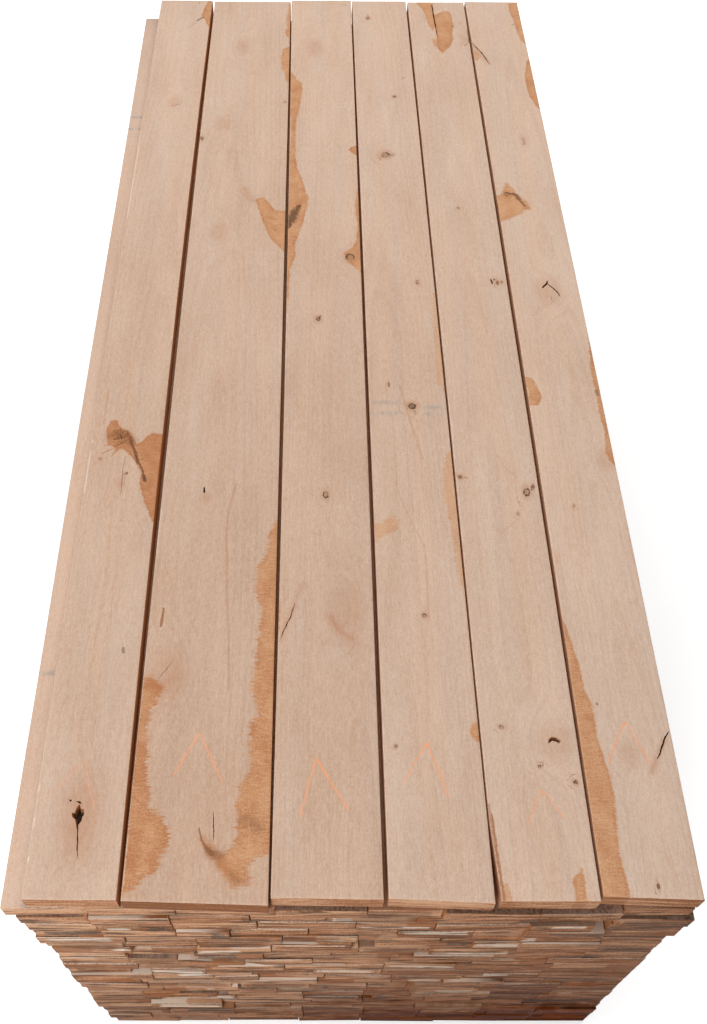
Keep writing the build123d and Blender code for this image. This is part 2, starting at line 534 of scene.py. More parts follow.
    def build_line(self) -> bpy.types.NodeTree:
        """Build a narrow streak from the places along and across it and half its length, in millimetres."""
        group = Group("ragged_line", {"Line": VECTOR, "Width": FLOAT, "Place": VECTOR})
        w, place = group.wires, group.inputs["Place"]
        along, across, half = w.split(group.inputs["Line"])
        past = w.math("MAXIMUM", w.math("SUBTRACT", w.math("ABSOLUTE", along), half), 0.0)
        reach = w.math("DIVIDE", w.length(past, across), group.inputs["Width"])
        coarse = w.math("SUBTRACT", w.noise(place, (170.0, 90.0, 170.0), 3.0), 0.5)
        fine = w.math("SUBTRACT", w.noise(place, (620.0, 260.0, 620.0), 2.0), 0.5)
        ragged = w.total((reach, 1.0), (coarse, 1.5), (fine, 0.9))
        thread = w.step(w.noise(place, (420.0, 300.0, 420.0), 3.0), 0.34, 0.6, 0.62, 1.0)
        return group.finish(Line=w.product(w.step(ragged, 0.45, 1.15, 1.0, 0.0), thread))

    def build_crayon(self) -> bpy.types.NodeTree:
        """Build a wax stroke, broken by the grain, from the distance to its middle line."""
        group = Group("crayon_stroke", {"Stroke": VECTOR, "Place": VECTOR})
        w, place = group.wires, group.inputs["Place"]
        distance, _, weight = w.split(group.inputs["Stroke"])
        sway = w.math("SUBTRACT", w.noise(place, (28.0, 28.0, 28.0)), 0.5)
        offset = w.math("ABSOLUTE", w.total((distance, 1.0), (sway, 0.007)))
        line = w.step(offset, 0.0006, 0.0016, 1.0, 0.0)
        wax = w.step(w.noise(place, (420.0, 130.0, 420.0), 2.0), 0.3, 0.52)
        return group.finish(Wax=w.product(line, wax, weight))

    def build_end(self) -> bpy.types.NodeTree:
        """Build a crosscut end: rings as arcs, level saw marks, broad streaks and smudges."""
        group = Group("end_grain", {"Log": VECTOR, "Place": VECTOR})
        w, place = group.wires, group.inputs["Place"]
        x, _, z = w.split(group.inputs["Log"])
        wobble = w.noise(place, (60.0, 1.0, 60.0))
        radius = w.total((w.length(x, z), 1.0), (wobble, 0.006))
        share = w.math("FRACT", w.math("DIVIDE", radius, 0.0042))
        rings = w.product(w.step(share, 0.2, 0.85), w.step(share, 0.85, 1.0, 1.0, 0.0))
        saw = w.noise(place, (16.0, 1.0, 430.0), 3.0)
        streak = w.noise(place, (6.0, 1.0, 105.0), 3.0)
        smudge = w.noise(place, (26.0, 3.0, 40.0), 3.0)
        crack = w.step(w.noise(place, (9.0, 1.0, 130.0), 3.0), 0.54, 0.59, 0.0, 0.85)
        return group.finish(Rings=rings, Saw=saw, Streak=streak, Smudge=smudge, Crack=crack)


@dataclass(frozen=True)
class BoardFinish:
    """The look of bare sawn wood.

    Attributes:
        slot: The material's name.
        pale: Clear sapwood.
        tan: Sapwood where the rings and fibres are darker.
        cool: Sapwood where it is greyer.
        heart: A light heartwood stain.
        deep_heart: A deep heartwood stain.
        knot: A knot's core.
        rim: The dark line round a knot, also the darkest end grain, the cracks in the ends and the painted
            shadow along each packed end's lower edge.
        dark: Bark, rot and mineral streaks.
        hollow_shade: The inside of a check or a knot hole: painted shade, and in a knot hole also the rot.
        grey: Weathered marks of stickers.
        crayon: The grader's crayon.
        weathered: A dark grey: weathering with painted shade on the packed boards' near strips, and the dark
            grey bands on their ends.
        bleached: A pale grey: weathering with painted light on the packed boards' near strips, and the pale
            bands on their ends.
        fuzz_and_highlight: Torn fibres along a sawn edge, which also serve as a painted highlight on the top
            boards' left edges and along the packed ends' upper arrises.
        edge: A sawn long edge, laid on fully between the boards and less on the stack's outer sides, so that
            it is partly painted shade.
        rust: Heartwood that shows on an end.
        painted_shade: The brown tint of painted shade low in the stack and towards the right.
        end: A crosscut end.
        deep_end: Its darker rings and smudges.
        ring_spacing: How far apart the growth rings are.
        roughness: The middle roughness of the face.
        specular: How strongly its surface shines.
        relief: How deep the grain's relief is.
        relief_strength: How much of that relief shows.
    """

    slot: str
    pale: Colour = (0.668, 0.486, 0.37, 1.0)
    tan: Colour = (0.335, 0.155, 0.07, 1.0)
    cool: Colour = (0.642, 0.488, 0.386, 1.0)
    heart: Colour = (0.597, 0.329, 0.173, 1.0)
    deep_heart: Colour = (0.41, 0.165, 0.068, 1.0)
    knot: Colour = (0.3, 0.18, 0.11, 1.0)
    rim: Colour = (0.085, 0.042, 0.024, 1.0)
    dark: Colour = (0.075, 0.038, 0.022, 1.0)
    hollow_shade: Colour = (0.03, 0.015, 0.008, 1.0)
    grey: Colour = (0.36, 0.31, 0.275, 1.0)
    crayon: Colour = (0.88, 0.32, 0.14, 1.0)
    weathered: Colour = (0.18, 0.118, 0.088, 1.0)
    bleached: Colour = (0.74, 0.61, 0.5, 1.0)
    fuzz_and_highlight: Colour = (0.8, 0.67, 0.55, 1.0)
    edge: Colour = (0.45, 0.17, 0.055, 1.0)
    rust: Colour = (0.38, 0.135, 0.05, 1.0)
    painted_shade: Colour = (0.26, 0.095, 0.005, 1.0)
    end: Colour = (0.62, 0.36, 0.215, 1.0)
    deep_end: Colour = (0.29, 0.108, 0.042, 1.0)
    ring_spacing: float = 0.0055
    roughness: float = 0.72
    specular: float = 0.1
    relief: float = 0.0005
    relief_strength: float = 0.6

    def material(self, groups: WoodGroups) -> bpy.types.Material:
        """Build the material.

        Args:
            groups: The shared shader groups.

        Returns:
            A material that reads the boards' attributes.
        """
        wood = bpy.data.materials.new(self.slot)
        wood.use_nodes = True
        w = Wires(wood.node_tree)
        where = w.add("ShaderNodeTexCoord").outputs
        place, log = where["Object"], w.attribute("log_co")
        distance, depth, ragged = w.split(w.attribute("heartwood"))
        brown, dark, sticker = w.split(w.attribute("soft_marks"))
        tone, weather, painted_shade = w.split(w.attribute("board_tone"))
        hollow_shade, fuzz_and_highlight, end_tone = w.split(w.attribute("saw_marks"))
        line_width, line_brown, line_dark = w.split(w.attribute("line_look"))
        normal_x, normal_y, _ = w.split(where["Normal"])
        is_side = w.step(w.math("ABSOLUTE", normal_x), 0.45, 0.85)
        is_end = w.step(w.math("ABSOLUTE", normal_y), 0.5, 0.8)
        level = w.math("SUBTRACT", 1.0, is_side)
        weather = w.product(weather, level)

        # Clear wood, and the weathering with painted light and shade on the packed boards' near strips
        figure = w.group(groups.figure, Log=log, Spacing=self.ring_spacing)
        terms = ((figure["Rings"], 0.065), (figure["Fibre"], 1.2), (figure["Blotch"], 0.4), (tone, 0.5))
        clear = w.mix(w.step(figure["Band"], 0.35, 0.65), self.pale, self.cool)
        face = w.mix(w.math("SUBTRACT", w.total(*terms), 0.68), clear, self.tan)
        patchy = w.math("ADD", figure["Blotch"], 0.4)
        rough = w.noise(place, (260.0, 200.0, 420.0), 2.0)
        dark_grey = w.mix(w.step(rough, 0.4, 0.65), self.weathered, self.rim)
        face = w.mix(w.product(weather, patchy), face, dark_grey)
        face = w.mix(w.product(weather, -1.0, patchy), face, self.bleached)

        # Heart stain and soft brown marks
        stain = w.group(groups.stain, Distance=distance, Ragged=ragged, Place=place)
        hue = w.total((depth, 1.0), (stain["Hatch"], 4.2), (stain["Rim"], 0.2), (figure["Fibre"], 0.7))
        heart = w.mix(w.math("SUBTRACT", hue, 2.46), self.heart, self.deep_heart)
        hatched = w.step(stain["Hatch"], 0.3, 0.5, 0.78, 0.97)
        face = w.mix(w.product(stain["Stain"], hatched, w.step(depth, 0.0, 0.25, 0.3, 1.0)), face, heart)
        face = w.mix(w.product(brown, w.math("ADD", figure["Fibre"], 0.5)), face, self.deep_heart)

        # Knots
        knot = w.group(groups.knot, Knot=w.attribute("knot_co"), Place=place)
        face = w.mix(w.product(knot["Halo"], 0.45), face, self.deep_heart)
        core = w.mix(w.math("ADD", knot["Mottle"], 0.35), self.knot, self.rim)
        face = w.mix(w.product(knot["Core"], 0.9), face, core)
        face = w.mix(knot["Rim"], face, self.rim)

        # Dark marks, narrow streaks, sticker marks and crayon
        speck = w.noise(place, (160.0, 60.0, 160.0), 3.0)
        face = w.mix(w.product(dark, w.step(speck, 0.3, 0.6, 0.45, 1.0)), face, self.dark)
        line = w.group(groups.line, Line=w.attribute("line_co"), Width=line_width, Place=place)["Line"]
        face = w.mix(w.product(line, line_brown), face, self.deep_heart)
        face = w.mix(w.product(line, line_dark), face, self.dark)
        face = w.mix(w.product(sticker, level, w.step(speck, 0.3, 0.62)), face, self.grey)
        wax = w.group(groups.crayon, Stroke=w.attribute("crayon"), Place=place)["Wax"]
        face = w.mix(wax, face, self.crayon)

        # Sawn long edges, browner between the boards as partly painted shade; torn fibres with a painted
        # highlight; holes darkened with painted shade
        shade = w.step(figure["Blotch"], 0.3, 0.7, 0.85, 1.0)
        inner = w.step(w.math("ABSOLUTE", w.split(place)[0]), 0.455, 0.475, 1.0, 0.3)
        face = w.mix(w.product(is_side, shade, inner), face, self.edge)
        torn_highlight = w.step(w.noise(place, (90.0, 14.0, 90.0), 3.0), 0.25, 0.5, 0.3, 1.0)
        face = w.mix(w.product(fuzz_and_highlight, torn_highlight), face, self.fuzz_and_highlight)
        face = w.mix(hollow_shade, face, self.hollow_shade)

        # Crosscut ends with their rings, bands and cracks, a painted highlight and a painted shadow along
        # their edges, and painted shade low in the stack and to the right
        end = w.group(groups.end, Log=log, Place=place)
        grit = w.noise(place, (300.0, 1.0, 430.0), 2.0)
        terms = ((end["Rings"], 0.2), (end["Saw"], 2.7), (end["Streak"], 2.6), (end["Smudge"], 0.5))
        worn = w.math("ADD", w.total(*terms, (grit, 2.0)), end_tone)
        crosscut = w.mix(w.math("SUBTRACT", worn, 3.43), self.end, self.deep_end)
        crosscut = w.mix(w.product(w.math("SUBTRACT", worn, 4.2), 0.45), crosscut, self.rim)
        crosscut = w.mix(w.product(stain["Stain"], w.math("ADD", depth, 0.1)), crosscut, self.deep_end)
        bands = w.split(w.attribute("end_bands"))
        for band, band_colour in zip(bands, (self.bleached, dark_grey, self.rust)):
            torn_band = w.total((band, 1.0), (end["Saw"], 1.2), (end["Streak"], 1.8), (rough, 0.4))
            crosscut = w.mix(w.step(torn_band, 2.4, 2.65, 0.0, 0.95), crosscut, band_colour)
        shadow, arris_highlight, packed = w.split(w.attribute("end_rim"))
        crosscut = w.mix(w.product(packed, end["Crack"]), crosscut, self.rim)
        # Painted highlight along each packed end's upper arris, then painted shadow along its lower edge
        crosscut = w.mix(w.product(arris_highlight, w.step(rough, 0.35, 0.6, 0.1, 0.6)), crosscut, self.fuzz_and_highlight)
        broken_shadow = w.product(shadow, w.step(end["Smudge"], 0.35, 0.6, 0.3, 0.95))
        crosscut = w.mix(broken_shadow, crosscut, self.rim)
        colour = w.mix(is_end, face, crosscut)
        # Painted shade: darker and browner low in the stack and, at the near ends, towards the right
        painted_shade = w.product(painted_shade, w.math("ADD", end["Smudge"], 0.5))
        colour = w.mix(painted_shade, colour, self.painted_shade, "MULTIPLY")

        # Gloss and relief
        gloss = w.total((figure["Fibre"], 0.25), (wax, -0.15), (1.0, self.roughness - 0.125))
        lengthwise = w.total((figure["Fibre"], 0.8), (figure["Rings"], 0.35), (stain["Hatch"], 0.3))
        height = w.add("ShaderNodeMix", {0: is_end, 2: lengthwise, 3: end["Saw"]}).outputs[0]
        relief = {"Strength": self.relief_strength, "Distance": self.relief, "Height": height}
        normal = w.add("ShaderNodeBump", relief).outputs["Normal"]
        looks = {"Base Color": colour, "Roughness": gloss, "Normal": normal}
        w.link(wood.node_tree.nodes["Principled BSDF"], {**looks, "Specular IOR Level": self.specular})
        return wood


@dataclass
class TopBoard:
    """One of the six wide boards on top.

    Attributes:
        number: Its place from the left.
        tones: How much darker than the palest wood it is at its near end, its middle and its far end.
        end_tone: How much browner its near end is.
        fuzz_and_highlight: How much torn fibre, which also serves as a painted highlight, shows along its
            left long edge.
        pith: Where the log's pith lies across and below the board's middle.
        taper: How much the rings close in towards the far end.
        waney: The sides, -1 left and 1 right, whose lower edge was sawn into the bark.
        stains: Its heartwood stains.
        knots: Its knots.
        streaks: Its soft streaks.
        checks: Its drying checks.
        pits: Its open knot holes.
        chevron: Its crayon mark.
        stickers: Grey bars that stickers left, as left, right and y.
        step: The spacing of the face's grid.
        ease: How much its sharp edges are broken.
        wane: How wide a waney edge is.
    """

    number: int
    chevron: Chevron
    tones: Place = (0.0, 0.0, 0.0)
    end_tone: float = 0.0
    fuzz_and_highlight: float = 0.3
    pith: Point = (0.02, -0.1)
    taper: float = 0.012
    waney: tuple[int, ...] = ()
    stains: tuple[Stain, ...] = ()
    knots: tuple[Knot, ...] = ()
    streaks: tuple[Streak, ...] = ()
    checks: tuple[Check, ...] = ()
    pits: tuple[Pit, ...] = ()
    stickers: tuple[tuple[float, float, float], ...] = ()
    step: float = 0.004
    ease: float = 0.0015
    wane: float = 0.012

    @property
    def node(self) -> str:
        """The name of the board's solid."""
        return f"top_board_{self.number}"

    def outline(self) -> tuple[np.ndarray, np.ndarray]:
        """Read the board's left and right edges from its solid.

        Returns:
            The left edge's and the right edge's points, x and y, from the near end to the far end.
        """
        low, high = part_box(self.node)
        points = corners_of(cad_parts[self.node].data)
        level = (points[:, 2] > high.z - 2 * self.ease) & (points[:, 2] < high.z - 0.5 * self.ease)
        side = (points[:, 0] - low.x) / (high.x - low.x)
        edges = []
        for keep in (side < 0.2, side > 0.8):
            rows = points[keep & level]
            edges.append(rows[np.argsort(rows[:, 1])][:, :2])
        return edges[0], edges[1]

    def model(self) -> bpy.types.Object:
        """Model the board from a grid laid over its outline.

        Returns:
            The finished piece.
        """
        low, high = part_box(self.node)
        left, right = self.outline()
        columns = round((high.x - low.x) / self.step)
        rows = round((high.y - low.y) / self.step)
        bpy.ops.object.select_all(action="DESELECT")
        bpy.ops.mesh.primitive_grid_add(x_subdivisions=columns, y_subdivisions=rows, size=1)
        board = bpy.context.object
        board.name = board.data.name = self.node + "_sawn"
        points = corners_of(board.data)
        across, along = points[:, 0] + 0.5, points[:, 1] + 0.5
        near = left[0, 1] + across * (right[0, 1] - left[0, 1])
        far = left[-1, 1] + across * (right[-1, 1] - left[-1, 1])
        y = near + along * (far - near)
        x_left = np.interp(y, left[:, 1], left[:, 0])
        x_right = np.interp(y, right[:, 1], right[:, 0])
        x = x_left + across * (x_right - x_left)
        put_corners(board.data, np.column_stack([x, y, np.full(len(y), high.z)]))
        with editing(board, "EDGE"):
            bpy.ops.mesh.select_all(action="SELECT")
            bpy.ops.mesh.region_to_loop()
            bpy.ops.mesh.extrude_region_move(TRANSFORM_OT_translate={"value": (0, 0, low.z - high.z)})
            bpy.ops.mesh.edge_face_add()
            bpy.ops.mesh.select_all(action="SELECT")
            bpy.ops.mesh.normals_make_consistent(inside=False)
            self.break_edges(board, low.z, high.z, 0.5 * (low.x + high.x))
        self.cut(board, high.z)
        self.weather(board, high.z)
        self.mark(board)
        only(board)
        bpy.ops.object.shade_smooth_by_angle(angle=SMOOTH_ANGLE)
        return board

    def break_edges(self, board: bpy.types.Object, bottom: float, top: float, middle: float) -> None:
        """Bevel the waney lower edges widely and the rim of the face finely.

        Args:
            board: The board, open in edit mode.
            bottom: The height of its underside.
            top: The height of its face.
            middle: Where its middle line is.
        """
        for side in self.waney:

            def is_lower(start: np.ndarray, end: np.ndarray) -> np.ndarray:
                """Say which edges run along the waney side's lower corner."""
                low = (np.abs(start[:, 2] - bottom) < MM) & (np.abs(end[:, 2] - bottom) < MM)
                along = np.abs(start[:, 1] - end[:, 1]) > np.abs(start[:, 0] - end[:, 0])
                return low & along & ((start[:, 0] - middle) * side > 0)

            pick_edges(board, is_lower)
            bpy.ops.mesh.bevel(offset=self.wane, segments=3, affect="EDGES")

        def is_top(start: np.ndarray, end: np.ndarray) -> np.ndarray:
            """Say which edges may lie on the face's rim."""
            return (start[:, 2] > top - MM / 10) & (end[:, 2] > top - MM / 10)

        pick_edges(board, is_top)
        bpy.ops.mesh.region_to_loop()
        bpy.ops.mesh.bevel(offset=self.ease, segments=2, affect="EDGES")

    def cut(self, board: bpy.types.Object, top: float) -> None:
        """Cut the checks and knot holes into the face.

        Args:
            board: The board to cut.
            top: The height of its face.
        """
        cutters = [self.check_cutter(check, top) for check in self.checks]
        cutters += [self.prism(pit.outline, top, pit.depth * MM, PIT_FLOOR) for pit in self.pits]
        only(board)
        for cutter in cutters:
            trim = board.modifiers.new("check", "BOOLEAN")
            trim.operation = "DIFFERENCE"
            trim.solver = "EXACT"
            trim.object = cutter
            bpy.ops.object.modifier_apply(modifier=trim.name)
            bpy.data.objects.remove(cutter)

    def check_cutter(self, check: Check, top: float) -> bpy.types.Object:
        """Make the wedge that opens one check.

        Args:
            check: The check to open.
            top: The height of the face.

        Returns:
            A closed cutter that stands a little proud of the face.
        """
        path = np.array(check.path)
        run = np.linalg.norm(np.diff(path, axis=0), axis=1)
        reach = np.concatenate([[0], np.cumsum(run)])
        stations = np.linspace(0, reach[-1], 4 * len(path) + 1)
        middle = np.column_stack([np.interp(stations, reach, path[:, axis]) for axis in (0, 1)])
        way = np.gradient(middle, axis=0)
        way /= np.linalg.norm(way, axis=1)[:, None]
        square = np.column_stack([-way[:, 1], way[:, 0]])
        share = stations / reach[-1]
        opening = check.width / 2 * np.sqrt(np.clip(4 * share * (1 - share), 0, 1))
        opening *= 0.85 + 0.2 * np.sin(stations * 0.9 + path[0, 0])
        middle += square * (0.35 * np.sin(stations * 0.3 + path[0, 1]))[:, None]
        spread = square * opening[:, None]
        sides = np.concatenate([middle + spread, (middle - spread)[-2:0:-1]])
        return self.prism([tuple(p) for p in sides], top, check.depth * MM, 1.0)

    def prism(self, outline: Sequence[Point], top: float, depth: float, floor: float) -> bpy.types.Object:
        """Make a closed cutter over an outline.

        Args:
            outline: The outline in millimetres, going round once.
            top: The height of the face.
            depth: How deep the cutter goes.
            floor: How wide its floor is for its mouth.

        Returns:
            The cutter.
        """
        bpy.ops.object.select_all(action="DESELECT")
        bpy.ops.mesh.primitive_circle_add(vertices=len(outline), fill_type="NGON")
        cutter = bpy.context.object
        rows = np.column_stack([np.array(outline) * MM, np.full(len(outline), top + CUTTER_PROUD)])
        put_corners(cutter.data, rows)
        middle = rows.mean(axis=0)
        with editing(cutter):
            bpy.ops.mesh.select_all(action="SELECT")
            bpy.ops.mesh.extrude_region_move(TRANSFORM_OT_translate={"value": (0, 0, -depth - CUTTER_PROUD)})
            bpy.ops.transform.resize(value=(floor, floor, 1), center_override=tuple(middle))
            bpy.ops.mesh.select_all(action="SELECT")
            bpy.ops.mesh.normals_make_consistent(inside=False)
        return cutter

    def weather(self, board: bpy.types.Object, top: float) -> None:
        """Ruffle the face a little, as sawing and drying leave it.

        Args:
            board: The board to change.
            top: The height of its face.
        """
        points = corners_of(board.data)
        lift = np.clip((points[:, 2] - top + FADE_DEPTH) / FADE_DEPTH, 0, 1)
        wave = WAVE_HEIGHT * ripple(points[:, :2], WAVE_LENGTH, self.number)
        points[:, 2] += lift * (wave - FACE_DROP)
        points[:, 2] += lift * RUFFLE_HEIGHT * ripple(points[:, :2], RUFFLE_LENGTH, RUFFLE_SEED + self.number)
        put_corners(board.data, points)

    def mark(self, board: bpy.types.Object) -> None:
        """Store what the material needs to know at each vertex: grain, stains, knots and marks."""
        mesh = board.data
        points = corners_of(mesh)
        places = points[:, :2] / MM
        low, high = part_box(self.node)
        log = points - np.array([0.5 * (low.x + high.x) + self.pith[0], 0.0, high.z + self.pith[1]])
        log[:, 2] += self.taper * points[:, 1]
        knot_co = np.tile([FAR_AWAY, FAR_AWAY, 0.0], (len(points), 1))
        nearest = np.full(len(points), KNOT_REACH)
        for knot in self.knots:
            local = (places - (knot.x, knot.y)) / (knot.radius, knot.radius * knot.stretch)
            reach = np.linalg.norm(local, axis=1)
            closer = reach < nearest
            knot_co[closer, :2] = local[closer]
            knot_co[closer, 2] = knot.kind.value
            nearest[closer] = reach[closer]
            swell = np.exp(-((local[:, 0] / 2.6) ** 2) - (local[:, 1] / 3.6) ** 2)
            log[:, 2] += KNOT_SWELL * knot.radius * MM * swell
        put_numbers(mesh, "log_co", log[:, 0], log[:, 1] + LOG_SPACING * self.number, log[:, 2])
        put_numbers(mesh, "knot_co", *knot_co.T)
        self.mark_stains(mesh, places)
        self.mark_streaks(mesh, places)
        self.mark_lines(mesh, places)
        self.mark_crayon(mesh, places)
        self.mark_saw(mesh, points)
        none = np.zeros(len(points))
        tone = np.interp(points[:, 1], TONE_STATIONS, self.tones)
        put_numbers(mesh, "board_tone", tone, none, none)

    def mark_stains(self, mesh: bpy.types.Mesh, places: np.ndarray) -> None:
        """Store how deep each vertex lies in a heartwood stain, and that stain's colour and edge."""
        best = np.full(len(places), -STAIN_REACH_MM)
        depth, ragged = np.zeros((2, len(places)))
        for stain in self.stains:
            inside = inside_distance(places, stain.outline)
            closer = inside > best
            best[closer] = inside[closer]
            depth[closer] = stain.depth
            ragged[closer] = stain.ragged
        put_numbers(mesh, "heartwood", best * MM, depth, ragged)

    def mark_saw(self, mesh: bpy.types.Mesh, points: np.ndarray) -> None:
        """Store how deep each vertex is in a check or a knot hole, for its painted shade, the torn and
        highlighted left edge and the end's tone.
        """
        left, right = self.outline()
        _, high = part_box(self.node)
        from_left = points[:, 0] - np.interp(points[:, 1], left[:, 1], left[:, 0])
        from_right = np.interp(points[:, 1], right[:, 1], right[:, 0]) - points[:, 0]
        side = np.minimum(from_left, from_right)
        inner = (side > 3 * MM) & (points[:, 1] > max(left[0, 1], right[0, 1]) + 3 * MM)
        sunk = np.clip((high.z - MM - points[:, 2]) / (2 * MM), 0, 1)
        on_edge = np.abs(points[:, 2] - high.z + self.ease) < 0.75 * self.ease
        torn_highlight = (from_left < 2 * self.ease) & on_edge
        end_tone = np.full(len(points), self.end_tone)
        put_numbers(mesh, "saw_marks", np.where(inner, sunk, 0), self.fuzz_and_highlight * torn_highlight, end_tone)

    def mark_lines(self, mesh: bpy.types.Mesh, places: np.ndarray) -> None:
        """Store each vertex's place along and across the nearest narrow streak, and that streak's look."""
        nearest = np.full(len(places), LINE_REACH)
        line = np.tile([FAR_AWAY / MM, FAR_AWAY / MM, 0.0], (len(places), 1))
        look = np.tile([1.0, 0.0, 0.0], (len(places), 1))
        for streak in self.streaks:
            if streak.is_soft:
                continue
            for start, end in zip(np.array(streak.path[:-1], float), np.array(streak.path[1:], float)):
                half = np.linalg.norm(end - start) / 2
                way = (end - start) / max(2 * half, MM)
                offset = places - (start + end) / 2
                along = offset @ way
                across = offset @ np.array([-way[1], way[0]])
                reach = np.hypot(np.maximum(np.abs(along) - half, 0), across) / streak.width
                closer = reach < nearest
                line[closer] = np.column_stack([along, across, np.full(len(places), half)])[closer]
                look[closer] = (streak.width, streak.brown, streak.dark)
                nearest[closer] = reach[closer]
        put_numbers(mesh, "line_co", *line.T)
        put_numbers(mesh, "line_look", *look.T)

    def mark_streaks(self, mesh: bpy.types.Mesh, places: np.ndarray) -> None:
        """Store the soft brown, dark and grey marks at each vertex."""
        brown, dark, grey = np.zeros((3, len(places)))
        for streak in self.streaks:
            if not streak.is_soft:
                continue
            fade = np.exp(-((path_distance(places, streak.path) / streak.width) ** 2))
            brown = np.maximum(brown, streak.brown * fade)
            dark = np.maximum(dark, streak.dark * fade)
        for left, right, y in self.stickers:
            fade = np.exp(-((path_distance(places, ((left, y), (right, y))) / STICKER_HALF_WIDTH) ** 2))
            grey = np.maximum(grey, STICKER_SHADE * fade)
        put_numbers(mesh, "soft_marks", brown, dark, grey)

    def mark_crayon(self, mesh: bpy.types.Mesh, places: np.ndarray) -> None:
        """Store the distance to the nearer crayon stroke, and how heavy it is."""
        mark = self.chevron
        side = places[:, 0] < mark.tip[0]
        drop = mark.tip[1] - places[:, 1]
        spread = places[:, 0] - mark.tip[0]
        slope_left = (mark.tip[0] - mark.left[0]) / (mark.tip[1] - mark.left[1])
        slope_right = (mark.right[0] - mark.tip[0]) / (mark.tip[1] - mark.right[1])
        slope = np.where(side, slope_left, slope_right)
        bottom = np.where(side, mark.tip[1] - mark.left[1], mark.tip[1] - mark.right[1])
        distance = (slope * drop - np.abs(spread)) / np.sqrt(1 + slope**2)
        weight = np.where((drop > -2) & (drop < bottom), mark.weight, 0.0)
        put_numbers(mesh, "crayon", distance * MM, drop * MM, weight)


